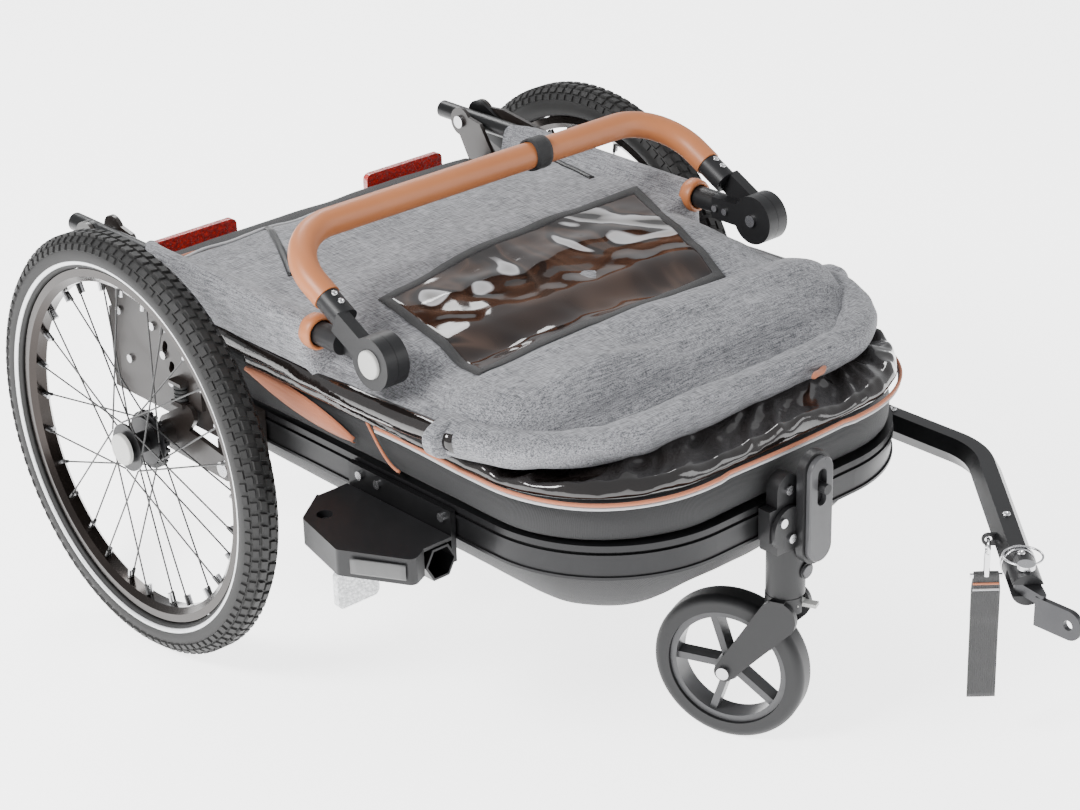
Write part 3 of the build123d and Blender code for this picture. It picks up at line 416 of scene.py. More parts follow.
CARCASS = TYRE_ROUND - TREAD
CAVITY = 0.0165
RING_RADIUS = TYRE_OUTER - TYRE_ROUND
BLOCK_ANGLES = ((40, 0.0), (64, pi / TREAD_BLOCKS))
NIPPLE_RADIUS = 0.0026
NIPPLE_LENGTH = 0.012
NIPPLE_RING = 0.1925
BAND_EDGES = ((-34, 0.0001), (-31, 0.0005), (-22, 0.0005), (-19, 0.0001), (-22, -0.001), (-31, -0.001))
for side, sign in SIDES:
    centre_x = sum(corner[0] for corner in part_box(f"tyre_{side}")) / 2
    profile = []
    for step in range(33):
        angle = radians(-52) + radians(284) * step / 32
        profile.append((CARCASS * cos(angle), RING_RADIUS + CARCASS * sin(angle)))
    for step in range(12):
        angle = radians(228) - radians(276) * step / 11
        profile.append((CAVITY * cos(angle), RING_RADIUS + CAVITY * sin(angle)))
    parts = [lathe(f"carcass_{side}", profile, centre_x, rubber, 144)]
    for offset in (0.0050, -0.0050):
        verts, faces = wedge(TREAD + 0.001, 0.0084, 0.0112, 0.84, 0.0012)
        parts.append(ring_of("tread", verts, faces, rubber, TREAD_BLOCKS, TYRE_OUTER - 0.0006,
                             (centre_x + offset, WHEEL_Y, WHEEL_Z), pi / TREAD_BLOCKS * (offset > 0)))
    for lean in (-1, 1):
        for angle, phase in BLOCK_ANGLES:
            verts, faces = wedge(TREAD + 0.0008, 0.0080, 0.0104, 0.82)
            tilt = Matrix.Rotation(radians(angle) * lean, 4, "Y")
            verts = [tilt @ (Vector(v) + Vector((TYRE_ROUND - 0.0007, 0, 0))) for v in verts]
            parts.append(ring_of("tread", verts, faces, rubber, TREAD_BLOCKS, RING_RADIUS,
                                 (centre_x, WHEEL_Y, WHEEL_Z), phase))
    tyre = join(f"tyre_tread_{side}", parts)
    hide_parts(f"tyre_{side}")
    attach(tyre, f"wheel_{side}")

    strip = []
    for angle, lift in BAND_EDGES:
        reach = CARCASS + lift
        strip.append((sign * reach * cos(radians(angle)), RING_RADIUS + reach * sin(radians(angle))))
    strip_ring = lathe(f"reflecting_band_{side}", strip, centre_x, band, 144)
    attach(strip_ring, f"wheel_{side}")

    verts, faces = [], []
    for i in range(8):
        for x in (-NIPPLE_LENGTH, 0.0):
            verts.append((x, NIPPLE_RADIUS * cos(pi / 4 * i), NIPPLE_RADIUS * sin(pi / 4 * i)))
    for i in range(8):
        k = (i + 1) % 8
        faces.append((2 * i, 2 * k, 2 * k + 1, 2 * i + 1))
    faces += [tuple(range(0, 16, 2)), tuple(range(15, 0, -2))]
    nipples = ring_of(f"nipples_{side}", verts, faces, steel, SPOKES, NIPPLE_RING,
                      (centre_x, WHEEL_Y, WHEEL_Z), pi / 2)
    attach(nipples, f"wheel_{side}")

# ------------------------------------------------------------------ tub, band and back
# The floor tub hangs inside the rail: coated black canvas with soft dents. A padded band stands
# on the rail, and the back is a stiffened panel with two reflectors.
MM = 0.001
RAIL_HALF = 264
RAIL_FRONT = -668
LEG_X = 281
LEG_Z = 443
BOW_Z = 388
BOW_FRONT = -600
BOW_CORNER = 150
BAND_LOW = 304
BAND_HIGH = 348
TUB_FRONT = -638
TUB_REAR = 58
TUB_LEVELS = ((296, 0), (262, 1), (240, 8), (220, 20), (203, 34), (192, 52), (187, 85), (185, 130))
TUB_WALL = 0.003


def at(x, y, z):
    """Point given in millimetres from the middle of the wheel axle, on the ground."""
    return Vector((x * MM, y * MM + WHEEL_Y, z * MM))


def ripple(x, y, z, size, seed=0.0):
    """Smooth noise from -1 to 1; size is the width of one wave in millimetres."""
    return noise.noise(Vector((x / size + seed, y / size - seed, z / size + 2 * seed)))


def fabric_finish(name, dark, light, streak, roughness, thread=0.0011, sheen=0.15, depth=0.5):
    """Plain weave: two crossed sets of threads, with streaks of lighter and darker yarn."""
    finish = Finish(name, Sheen_Weight=sheen, Sheen_Roughness=0.5)
    warp, weft = [finish.node("ShaderNodeTexWave", {"bands_direction": direction}, {
        "Vector": finish.place(), "Scale": 0.32 / thread, "Distortion": 1.2, "Detail": 1.0,
        "Detail Scale": 2.0}) for direction in "XY"]
    along_x = finish.grain(1.0, 3, finish.place((60, 900, 900)), 0.6)
    along_y = finish.grain(1.0, 3, finish.place((900, 60, 900)), 0.6)
    patches = finish.grain(9, 3)
    threads = (along_x + along_y) * 0.5
    tone = (threads - 0.5) * streak + 0.5 + (patches - 0.5) * 0.5
    finish.feed(Base_Color=finish.mix(tone, dark, light), Roughness=patches * 0.1 + (roughness - 0.05))
    return finish.bump(warp * 0.5 + weft * 0.5 + threads * 0.6, depth, 0.0006)


black_canvas = fabric_finish("black_canvas", (0.004, 0.004, 0.0045), (0.013, 0.013, 0.014), 1.6, 0.72,
                             sheen=0.06)
orange_canvas = fabric_finish("orange_canvas", (0.30, 0.085, 0.035), (0.42, 0.14, 0.06), 1.6, 0.68)
grey_canvas = fabric_finish("grey_melange", (0.045, 0.046, 0.052), (0.29, 0.292, 0.307), 4.6, 0.88,
                            sheen=0.12, depth=0.35)
grey_cord = fabric_finish("grey_cord", (0.30, 0.30, 0.31), (0.46, 0.46, 0.47), 1.6, 0.7)


def outline(half, front, rear, corner, steps=14):
    """Half of the plan shape, from the middle of the front round to the rear: (x, y) and the
    direction that faces outwards."""
    points = []
    straight = half - corner
    for i in range(8):
        points.append((straight * i / 8, front, 0.0, -1.0))
    for i in range(steps):
        angle = pi / 2 * i / steps
        points.append((straight + corner * sin(angle), front + corner - corner * cos(angle),
                       sin(angle), -cos(angle)))
    run = rear - front - corner
    for i in range(25):
        points.append((half, front + corner + run * i / 24, 1.0, 0.0))
    return points


def whole(half_points):
    """Both halves, from the right rear corner round the front to the left one."""
    mirrored = [(-x, y, -nx, ny) for x, y, nx, ny in half_points]
    return mirrored[:0:-1] + half_points


def walled(name, path, section, finish, wrinkle, wave):
    """Padded wall along a plan path. The section is a closed loop of (outwards, z)."""
    verts = []
    for x, y, nx, ny in path:
        for out, z in section():
            reach = out + wrinkle * ripple(x, y, z, wave)
            verts.append(at(x + nx * reach, y + ny * reach, z + 0.4 * wrinkle * ripple(x, y, z, wave, 5)))
    return smoothed(outward(add_piece(name, verts, tube_faces(len(path), len(section())), finish)))


def padded_section(low, high, out_low, out_high, inner, bulge):
    """Loop with a rounded outer face that swells by bulge."""
    loop = []
    for i in range(9):
        share = i / 8
        out = out_low + (out_high - out_low) * share + bulge * sin(pi * share)
        loop.append((out, low + (high - low) * share))
    loop += [(out_high - 6, high + 2), (inner + 4, high + 1), (inner, high - 4), (inner, low + 4)]
    return loop


band_path = whole(outline(RAIL_HALF - 4, RAIL_FRONT + 8, 60, 150))
side_band = walled("side_band_padding", band_path,
                   lambda: padded_section(BAND_LOW, BAND_HIGH, -1, -6, -20, 3.5), black_canvas, 1.6, 55)
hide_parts("side_band")
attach(side_band, "base")

tub_half = RAIL_HALF - 22
tub_rows = []
for level, inset in TUB_LEVELS:
    ring = whole(outline(tub_half - inset, TUB_FRONT + inset, TUB_REAR - inset * 0.3, max(132 - inset, 20)))
    tub_rows.append([(x, y, level) for x, y, nx, ny in ring])
verts = []
for row in tub_rows:
    for x, y, z in row:
        dent = 3.0 * ripple(x, y, z, 80) + 2.0 * ripple(x, y, z, 35, 3)
        depth = 1.0 if z < 262 else 0.25
        verts.append(at(x * (1 - 0.003 * depth), y, z + dent * depth))
columns = len(tub_rows[0])
faces = grid_faces(len(tub_rows), columns, False, True)
faces.append(tuple(range((len(tub_rows) - 1) * columns, len(tub_rows) * columns)))
tub = add_piece("tub_canvas", verts, faces, black_canvas)
tub.modifiers.new("wall", "SOLIDIFY").thickness = TUB_WALL
smoothed(outward(tub))
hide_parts("fabric_tub")
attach(tub, "base")

low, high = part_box("rear_panel")
middle, half = (low + high) / 2, (high - low) / 2
verts = []
rows, columns = 13, 41
for i in range(rows):
    angle = 2 * pi * i / rows
    for j in range(columns):
        u = -1 + 2 * j / (columns - 1)
        pinch = 1 - 0.25 * abs(u) ** 6
        x = u * high.x * 0.995
        y = middle.y + half.y * 0.92 * pinch * max(-1, min(1, 1.35 * cos(angle)))
        z = middle.z + half.z * max(-1, min(1, 1.35 * sin(angle)))
        verts.append((x, y + 0.003 * ripple(x / MM, y / MM, z / MM, 90),
                      z + 0.002 * ripple(x / MM, 0, z / MM, 60, 2)))
faces = grid_faces(rows, columns, True, False)
faces += [tuple(range(0, rows * columns, columns)), tuple(range(columns - 1, rows * columns, columns))[::-1]]
back = smoothed(outward(add_piece("back_panel_canvas", verts, faces, black_canvas)))
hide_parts("rear_panel")
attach(back, "base")

# ------------------------------------------------------------------ seat
# Slack hammock seat under the canopy, grey on top, two sewn channels across it.
SEAM_AT = 0.33
SEAM_WIDTH = 0.05
low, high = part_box("seat_hammock")
middle, half = (low + high) / 2, (high - low) / 2
verts = []
rows, columns = 25, 25
for face in (1, -1):
    for i in range(rows):
        for j in range(columns):
            u, v = -1 + 2 * i / (rows - 1), -1 + 2 * j / (columns - 1)
            crown = (1 - abs(u) ** 4) * (1 - abs(v) ** 4)
            seam = 0.45 * sum(exp(-((v + side * SEAM_AT) / SEAM_WIDTH) ** 2) for side in (-1, 1))
            plump = 0.12 + 0.85 * crown * (1 - (seam if face > 0 else 0))
            pull = 1 - 0.03 * (1 - crown)
            verts.append((middle.x + u * half.x * (1 - 0.03 * (1 - v * v)) * pull,
                          middle.y + v * half.y * (1 - 0.03 * (1 - u * u)),
                          middle.z + face * half.z * plump))
top = grid_faces(rows, columns)
faces = list(top) + [tuple(i + rows * columns for i in f)[::-1] for f in top]
rim = [i for i in range(columns)] + [columns * (i + 1) - 1 for i in range(1, rows)]
rim += [rows * columns - 1 - i for i in range(1, columns)]
rim += [columns * (rows - 1 - i) for i in range(1, rows - 1)]
for a, b in zip(rim, rim[1:] + rim[:1]):
    faces.append((a, b, b + rows * columns, a + rows * columns))
seat = smoothed(outward(add_piece("seat_pad", verts, faces, grey_canvas)))
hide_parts("seat_hammock")
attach(seat, "base")

# ------------------------------------------------------------------ canopy
# One sheet of grey melange polyester. It is sewn round both leg tubes behind the knuckles and round
# the front hoop, and lies slack between them because the trailer is folded.
LEG_SLEEVE_END = -252
CANOPY_REAR = 64
CANOPY_FRONT = -604
BLEND_START = at(0, -330, 430)
BLEND_END = at(0, -560, 410)


def canopy_height(y):
    """Height of the canopy along its middle, rear to front."""
    stops = ((64, 418), (50, 430), (20, 438), (-60, 444), (-160, 446), (-260, 442), (-350, 436),
             (-400, 424), (-422, 424), (-452, 437), (-482, 444), (-512, 437), (-538, 418), (-554, 403),
             (-570, 399), (-604, 400))
    for (y1, z1), (y2, z2) in zip(stops, stops[1:]):
        if y >= y2:
            share = (y1 - y) / (y1 - y2)
            share = share * share * (3 - 2 * share)
            return z1 + (z2 - z1) * share
    return stops[-1][1]


def hoop_half(y):
    """Half width of the front hoop at this y, to the middle of its tube."""
    if y > BOW_FRONT + BOW_CORNER:
        return LEG_X
    dip = min(BOW_FRONT + BOW_CORNER - y, BOW_CORNER)
    return LEG_X - BOW_CORNER + sqrt(max(BOW_CORNER ** 2 - dip ** 2, 0))


def rear_section(h):
    """Half section round a leg tube, from the middle outwards: (x, z)."""
    return [(0, h), (60, h), (120, h), (180, h - 0.5), (225, h - 2), (250, h - 2), (263, h + 2),
            (271, 454.5), (281, 458.5), (291, 455), (296, 445), (296, 430), (295, 414), (292, 401)]


def front_section(h):
    """Half section down to the hoop, from the middle outwards: (x, z)."""
    return [(0, h), (60, h), (120, h), (170, h - 0.5), (205, h - 2), (228, h - 4.5), (242, h - 9),
            (252, h - 14), (259, h - 20), (264, max(h - 27, 406)), (270, 404), (277, 402), (284, 400),
            (291, 394)]


def slack(x, y):
    """Soft folds: long waves across the canopy and a bunch towards its front."""
    front = 1 / (1 + exp((y + 380) / 40))
    edge = max(0.0, 1 - (abs(x) / 275) ** 6)
    waves = 3.6 * ripple(x, y * 1.8, 0, 120, 1.3)
    waves += 2.4 * ripple(x, y, 0, 48, 4.1) + 0.8 * ripple(x, y, 0, 20, 7)
    roll = 9.0 * sin((y + 0.13 * x + 30 * ripple(x, y, 0, 150, 2)) / 15) * front
    return edge * (waves + roll * (0.6 + 0.5 * ripple(x, y, 0, 110, 9)))


stations = [CANOPY_REAR, 58, 48, 34, 16]
y = 0
while y > -244:
    stations.append(y)
    y -= 14
stations += [-250, -256, -262]
y = -270
while y > CANOPY_FRONT:
    stations.append(y)
    y -= 8
stations.append(CANOPY_FRONT)
verts = []
for y in stations:
    h = canopy_height(y)
    section = rear_section(h) if y > LEG_SLEEVE_END else front_section(h)
    if y > 40:
        section = [(x * (1 - 0.0012 * (y - 40)), z - 0.12 * (y - 40) if x > 262 else z)
                   for x, z in section]
    scale = hoop_half(y) / LEG_X
    fine = []
    for index, ((x1, z1), (x2, z2)) in enumerate(zip(section, section[1:])):
        parts = 4 if index < 5 else 2
        fine += [(x1 + (x2 - x1) * k / parts, z1 + (z2 - z1) * k / parts) for k in range(parts)]
    fine.append(section[-1])
    both = [(-x, z) for x, z in fine[:0:-1]] + fine
    for x, z in both:
        verts.append(at(x * scale, y, z + slack(x * scale, y)))
columns = len(both)
canopy = add_piece("canopy_fabric", verts, grid_faces(len(stations), columns), grey_canvas)
smoothed(canopy)
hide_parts("canopy")
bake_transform(canopy)

# ------------------------------------------------------------------ window, zips and piping
# A clear vinyl window is let into the canopy and bound with black tape. Two zips run to the rear,
# and the rear edge has a round orange piping beside a grey one.


def canopy_top(x, y):
    """Height of the canopy's upper face at a plan position."""
    h = canopy_height(y)
    section = rear_section(h) if y > LEG_SLEEVE_END else front_section(h)
    across = abs(x) * LEG_X / hoop_half(y)
    for (x1, z1), (x2, z2) in zip(section, section[1:]):
        if x1 <= across <= x2 and x2 > x1:
            return z1 + (z2 - z1) * (across - x1) / (x2 - x1) + slack(x, y)
    return section[-1][1]


def tube_along(name, points, radii, finish, sides=10, flat=1.0):
    """Round or flattened bar along points, with closed ends."""
    verts = []
    for i, point in enumerate(points):
        before, after = points[max(i - 1, 0)], points[min(i + 1, len(points) - 1)]
        forward = (after - before).normalized()
        aside = forward.cross(Vector((0, 0, 1)))
        aside = aside.normalized() if aside.length > 1e-4 else Vector((1, 0, 0))
        up = aside.cross(forward)
        radius = radii[i] if hasattr(radii, "__len__") else radii
        for k in range(sides):
            angle = 2 * pi * k / sides
            verts.append(point + aside * radius * cos(angle) * MM + up * radius * flat * sin(angle) * MM)
    return outward(add_piece(name, verts, tube_faces(len(points), sides), finish))


def with_canopy(piece):
    """Bake the piece's place into its mesh, as was done for the canopy."""
    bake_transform(piece)
    return piece


# The window's colour holds painted reflections: a dark smoky tone with narrow grey-white bands painted where
# lamps would reflect.
vinyl = Finish("window_vinyl", Specular_IOR_Level=0.22, Coat_Weight=0.22, Coat_Roughness=0.03,
               Roughness=0.07)
# Swirling noise drives the ramp: dark smoke and brown tones of the film, and grey-white stops that are
# painted reflections.
swirl_tone_and_reflection = vinyl.node("ShaderNodeTexNoise", {}, {
    "Vector": vinyl.place((6, 6, 6), (0, 0, 0.9)), "Scale": 1.0, "Detail": 1.5, "Roughness": 0.5,
    "Distortion": 1.6})
smoke_tone_and_painted_reflections = vinyl.node("ShaderNodeValToRGB", {"stops": (
    (0.30, (0.006, 0.004, 0.004)), (0.44, (0.022, 0.013, 0.010)), (0.50, (0.050, 0.030, 0.022)),
    (0.53, (0.010, 0.007, 0.006)), (0.555, (0.016, 0.012, 0.011)), (0.57, (0.42, 0.42, 0.43)),
    (0.64, (0.20, 0.195, 0.19)), (0.66, (0.010, 0.008, 0.007)))}, {"Fac": swirl_tone_and_reflection})
vinyl.feed(Base_Color=smoke_tone_and_painted_reflections).bump(vinyl.grain(11, 2), 0.35, 0.004)

REAR_NEAR, REAR_FAR = (-178, -240), (240, -196)
FRONT_NEAR, FRONT_FAR = (-205, -425), (160, -412)


def window_point(u, v, lift):
    """Point of the window; u runs from right to left and v from rear to front, both 0 to 1."""
    rear = [a + (b - a) * u for a, b in zip(REAR_NEAR, REAR_FAR)]
    front = [a + (b - a) * u for a, b in zip(FRONT_NEAR, FRONT_FAR)]
    x = rear[0] + (front[0] - rear[0]) * v
    y = rear[1] + (front[1] - rear[1]) * v + 16 * sin(pi * u) * (1 - v)
    inner = min(u, 1 - u, v, 1 - v)
    wave = 3.5 * ripple(x, y, 0, 60, 11) + 1.5 * ripple(x, y, 0, 26, 13)
    return at(x, y, canopy_top(x, y) + lift + wave * min(inner * 8, 1))


steps = 40
FILM = 0.0006
BINDING_EDGES = ((-0.016, 1.2), (-0.012, 3.0), (0.014, 3.4), (0.018, 1.8))
verts = [window_point(i / steps, j / steps, 1.8) for j in range(steps + 1) for i in range(steps + 1)]
window = add_piece("window", verts, grid_faces(steps + 1, steps + 1), vinyl)
window.modifiers.new("wall", "SOLIDIFY").thickness = FILM
with_canopy(settle(window))

border = [(i / steps, 0) for i in range(steps)] + [(1, i / steps) for i in range(steps)]
border += [(1 - i / steps, 1) for i in range(steps)] + [(0, 1 - i / steps) for i in range(steps)]
verts = []
for u, v in border:
    for inset, lift in BINDING_EDGES:
        verts.append(window_point(u + inset * (0.5 - u) * 2, v + inset * (0.5 - v) * 4.4, lift))
binding = outward(add_piece("window_binding", verts, grid_faces(len(border), 4, True, False), black_canvas))
with_canopy(binding)

for name, start, end in (("right", (-112, 62), (-206, -112)), ("left", (262, 20), (236, -125))):
    line = []
    for i in range(25):
        x = start[0] + (end[0] - start[0]) * i / 24
        y = start[1] + (end[1] - start[1]) * i / 24
        line.append(at(x, y, canopy_top(x, y) + 0.8))
    zip_line = tube_along(f"zip_{name}", line, 4.2, black_plastic, 8, 0.4)
    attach(zip_line, "legs")

for name, finish, lift, back in (("orange", orange_canvas, 1.5, 0), ("grey", grey_cord, 0.5, 5)):
    edge = []
    for x in range(-250, 251, 10):
        y = 60 - back - 12 * (abs(x) / 250) ** 6
        edge.append(at(x, y, canopy_top(x, y) + lift))
    piping = tube_along(f"rear_piping_{name}", edge, 2.2, finish, 8)
    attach(piping, "legs")

# ------------------------------------------------------------------ front hoop's sleeve and side rolls
# The front hem of the canopy is a loose grey sleeve round the hoop. Along each side the black vinyl
# skirt is rolled round the hoop's tube.


def hoop_path(y_from, steps):
    """Middle of the hoop's tube, from one side at y_from round the front to the other side."""
    half = []
    straight = LEG_X - BOW_CORNER
    for i in range(10):
        half.append((straight * i / 10, BOW_FRONT))
    for i in range(steps):
        angle = pi / 2 * i / steps
        half.append((straight + BOW_CORNER * sin(angle),
                     BOW_FRONT + BOW_CORNER - BOW_CORNER * cos(angle)))
    run = y_from - BOW_FRONT - BOW_CORNER
    for i in range(7):
        half.append((LEG_X, BOW_FRONT + BOW_CORNER + run * i / 6))
    return [(-x, y) for x, y in half[:0:-1]] + half


path = hoop_path(-472, 26)
verts = []
SLEEVE_SIDES = 28
for i, (x, y) in enumerate(path):
    ahead, behind = path[min(i + 1, len(path) - 1)], path[max(i - 1, 0)]
    nx, ny = ahead[0] - behind[0], ahead[1] - behind[1]
    length = sqrt(nx * nx + ny * ny)
    out = Vector((ny / length, -nx / length))
    swell = 1 + 0.12 * ripple(x, y, 0, 90, 21)
    for k in range(SLEEVE_SIDES):
        angle = 2 * pi * k / SLEEVE_SIDES
        crease = 3.0 * ripple(x * 1.4 + 40 * angle, y, 30 * angle, 40, 23)
        reach = (18.5 if cos(angle) > -0.2 else 26) * swell + crease
        lift = (16.5 if sin(angle) > 0 else 21) * swell + crease
        across = reach * cos(angle) - 3
        verts.append(at(x + out.x * across, y + out.y * across, BOW_Z + 5 + lift * sin(angle)))
sleeve = smoothed(outward(add_piece("hoop_sleeve", verts, tube_faces(len(path), SLEEVE_SIDES), grey_canvas)))
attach(sleeve, "bow")

black_vinyl = Finish("black_vinyl", Specular_IOR_Level=0.45, Coat_Weight=0.45, Coat_Roughness=0.04)
dirt = black_vinyl.grain(18, 4)
black_vinyl.feed(Base_Color=black_vinyl.mix(dirt, (0.003, 0.0025, 0.0025), (0.012, 0.009, 0.008)),
                 Roughness=dirt * 0.12 + 0.05)
black_vinyl.bump(black_vinyl.grain(45, 3), 0.35, 0.003)
for side, sign in SIDES:
    line, radii = [], []
    for i in range(41):
        y = -70 - 412 * i / 40
        sag = 6 * sin(pi * min(max((-y - 90) / 390, 0), 1))
        line.append(at(sign * (LEG_X + 3 + 0.8 * ripple(0, y, 0, 50, 31)), y,
                       BOW_Z + 5 - sag + 1.2 * ripple(3, y, 0, 60, 33)))
        radii.append(12.5 + 1.3 * ripple(9 * sign, y, 0, 34, 35))
    roll = tube_along(f"skirt_roll_{side}", line, radii, black_vinyl, 20)
    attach(roll, "bow")

# ------------------------------------------------------------------ rain cover
# Clear and black vinyl, here all in the black vinyl finish, crumpled down on the padded band round the
# front, with sharp creases.


def cover_section(y):
    """Section of the crumpled cover, as a closed loop of (outwards, z); wider at the front."""
    front = 1 / (1 + exp((y + 400) / 45))
    inner = -30 - 24 * front
    crest = 372 + 8 * front
    loop = [(2, 351), (6, 354), (8, 359), (6, 365), (1, 369)]
    loop += [(1 + (inner - 1) * s / 12, 369 + (crest - 369) * s / 12 - 5 * sin(pi * s / 12))
             for s in range(1, 13)]
    loop += [(inner - 3, crest - 8), (inner, 362), (inner * 0.5, 353)]
    return loop


def crease(x, y, z):
    """Creases of crumpled film: sharp ridges and valleys that run unevenly."""
    total = 0.0
    for size, height, seed in ((110, 8.0, 41), (46, 8.0, 43), (21, 3.2, 47)):
        total += height * (0.5 - abs(ripple(x, y, z * 2.5, size, seed)) * 1.7)
    return total


COVER_CORNER = 152
SPLIT = 3
coarse = whole(outline(RAIL_HALF + 1, RAIL_FRONT + 14, -100, COVER_CORNER, 30))
cover_path = []
for near, far in zip(coarse, coarse[1:]):
    for k in range(SPLIT):
        cover_path.append([a + (b - a) * k / SPLIT for a, b in zip(near, far)])
verts = []
for x, y, nx, ny in cover_path:
    front = 1 / (1 + exp((y + 330) / 60))
    for index, (out, z) in enumerate(cover_section(y)):
        fold = crease(x + out, y, z) * (0.25 + 0.75 * front)
        rise = 1.0 if 3 < index < 17 else 0.25
        reach = out + fold * 0.35
        verts.append(at(x + nx * reach, y + ny * reach, z + fold * rise * 0.9))
faces = tube_faces(len(cover_path), len(cover_section(0)))
cover = smoothed(outward(add_piece("rain_cover_film", verts, faces, black_vinyl)))
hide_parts("rain_cover")
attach(cover, "base")

rim_path = whole(outline(RAIL_HALF + 2, RAIL_FRONT + 5, -330, COVER_CORNER, 30))
for name, finish, drop, out in (("orange", orange_canvas, 0, 5), ("grey", grey_cord, 4.5, 4)):
    line = [at(x + nx * (out - 3.5 * (abs(x) < 90)), y + ny * (out - 3 * (abs(x) < 90)),
               352 - drop + 4 * ripple(x, y, 0, 150, 51)) for x, y, nx, ny in rim_path]
    piping = tube_along(f"cover_piping_{name}", line, 2.1, finish, 8)
    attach(piping, "base")

# Short orange pull that lies on the cover.
toggle = [at(78 + 4.2 * i, -628 + 1.5 * i, 392 + 1.2 * sin(i)) for i in range(8)]
TOGGLE_RADII = (2.2, 3.4, 4.0, 4.2, 4.2, 4.0, 3.4, 2.2)
zip_toggle = tube_along("zip_toggle", toggle, TOGGLE_RADII, orange_canvas, 10, 0.7)
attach(zip_toggle, "base")

# Orange gusset let into the band on each side, above the rail, and an arc of piping ahead of it.
for side, sign in SIDES:
    arc = [at(sign * (RAIL_HALF + 3.5), -312 - 52 * i / 16, 354 - 42 * sin(pi / 2 * i / 16))
           for i in range(17)]
    arc_piping = tube_along(f"arc_piping_{side}", arc, 1.8, orange_canvas, 8)
    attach(arc_piping, "base")
    verts = []
    for i in range(31):
        t = i / 30
        y, middle = -98 - 190 * t, 346 - 24 * t
        half = 13 * sin(pi * min(max(t, 0.02), 0.98)) ** 0.6
        for k in range(7):
            share = -1 + k / 3
            verts.append(at(sign * (RAIL_HALF + 1.2 + 3.5 * (1 - share * share)), y,
                            min(middle + half * share, 352)))
    gusset = add_piece(f"gusset_{side}", verts, grid_faces(31, 7), orange_canvas)
    gusset.modifiers.new("wall", "SOLIDIFY").thickness = 0.001
    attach(settle(gusset), "base")

# ------------------------------------------------------------------ push handle
# Tan leatherette is stretched over a foam tube, with pores and small creases. A woven strap is
# wrapped round it, and each leg enters the canopy through a ring of the same leatherette.
tan = Finish("tan_leatherette", Specular_IOR_Level=0.45, Coat_Weight=0.08, Coat_Roughness=0.4)
hide = tan.grain(7, 5, rough=0.6)
pores = tan.node("ShaderNodeTexVoronoi", {"feature": "DISTANCE_TO_EDGE"}, {
    "Vector": tan.place(), "Scale": 620.0})
tan.feed(Base_Color=tan.mix(hide, (0.34, 0.110, 0.036), (0.45, 0.160, 0.058)), Roughness=hide * 0.16 + 0.36)
tan.bump(pores, 0.25, 0.0004)
paint(("handle_grip",), tan)

RING_PROFILE = ((14.6, -262), (17.5, -262.5), (19.3, -259), (19.6, -252), (18.6, -246), (14.6, -245))
for side, sign in SIDES:
    verts = []
    for i in range(36):
        angle = 2 * pi * i / 36
        for radius, y in RING_PROFILE:
            grow = radius + 0.5 * ripple(30 * cos(angle), y, 30 * sin(angle), 14, 3)
            verts.append(at(sign * LEG_X + grow * cos(angle), y, LEG_Z + grow * sin(angle)))
    ring = outward(add_piece(f"leg_ring_{side}", verts, grid_faces(36, len(RING_PROFILE), True, True), tan))
    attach(ring, "legs")

KNUCKLE_Y = -360
HANDLE_ANGLE = radians(27.6)
HANDLE_REACH = 188
WEBBING_PROFILE = ((75, 15.8), (75, 18.2), (80, 18.8), (86, 18.4), (92, 18.8), (97, 18.2), (97, 15.8))


def on_handle(x, out, lift):
    """Point in the handle's plane: across, out from the knuckles, and above the plane."""
    return at(x, KNUCKLE_Y + out * cos(HANDLE_ANGLE) - lift * sin(HANDLE_ANGLE),
              LEG_Z + out * sin(HANDLE_ANGLE) + lift * cos(HANDLE_ANGLE))


verts = []
for i in range(40):
    angle = 2 * pi * i / 40
    for x, radius in WEBBING_PROFILE:
        bulge = 1 + 0.10 * max(0, sin(angle)) ** 3
        verts.append(on_handle(x, HANDLE_REACH + radius * bulge * cos(angle), radius * bulge * sin(angle)))
webbing = outward(add_piece("grip_webbing", verts, grid_faces(40, 7, True, True), black_canvas))
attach(webbing, "handle")


def screw(name, centre, normal, radius, body, finish):
    """Pan head with a hexagon socket, seated on a face."""
    axis = normal.normalized()
    aside = axis.orthogonal().normalized()
    up = axis.cross(aside)
    verts, faces = [], []
    levels = ((1.0, -0.2), (1.0, 0.25), (0.86, 0.5), (0.5, 0.6), (0.46, 0.56), (0.42, 0.15), (0.0, 0.12))
    for share, height in levels:
        for k in range(18):
            angle = 2 * pi * k / 18
            wide = share * (1.0 if share > 0.47 else 0.93 + 0.07 * cos(6 * angle))
            verts.append(centre + (aside * cos(angle) + up * sin(angle)) * wide * radius * MM
                         + axis * height * radius * MM)
    faces = grid_faces(len(levels), 18, False, True)
    faces.append(tuple(range(18)))
    head = add_piece(name, verts, faces, finish)
    shell = bmesh.new()
    shell.from_mesh(head.data)
    bmesh.ops.remove_doubles(shell, verts=shell.verts, dist=1e-7)
    bmesh.ops.recalc_face_normals(shell, faces=shell.faces)
    shell.to_mesh(head.data)
    shell.free()
    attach(head, body)
    return head


lift_axis = on_handle(0, 0, 1) - on_handle(0, 0, 0)
for side, sign in SIDES:
    for out in (76, 88):
        screw(f"handle_screw_{side}_{out}", on_handle(sign * LEG_X, out, 14.0), lift_axis, 3.6,
              "handle", steel)

# ------------------------------------------------------------------ drawbar fittings
# Screws in the flat top of the drawbar, two polished rings on its coupler, and the webbing safety
# strap with its sewn loop.
BEND = radians(42)
CORNER = (289, -687)
BAR_Z = 247
AHEAD = Vector((-sin(BEND), -cos(BEND), 0))
ASIDE = Vector((-cos(BEND), sin(BEND), 0))


def on_bar(run, aside, z):
    """Point by the drawbar's slanted end: along it from its corner, to its side, and up."""
    return at(CORNER[0] + run * AHEAD.x + aside * ASIDE.x,
              CORNER[1] + run * AHEAD.y + aside * ASIDE.y, z)


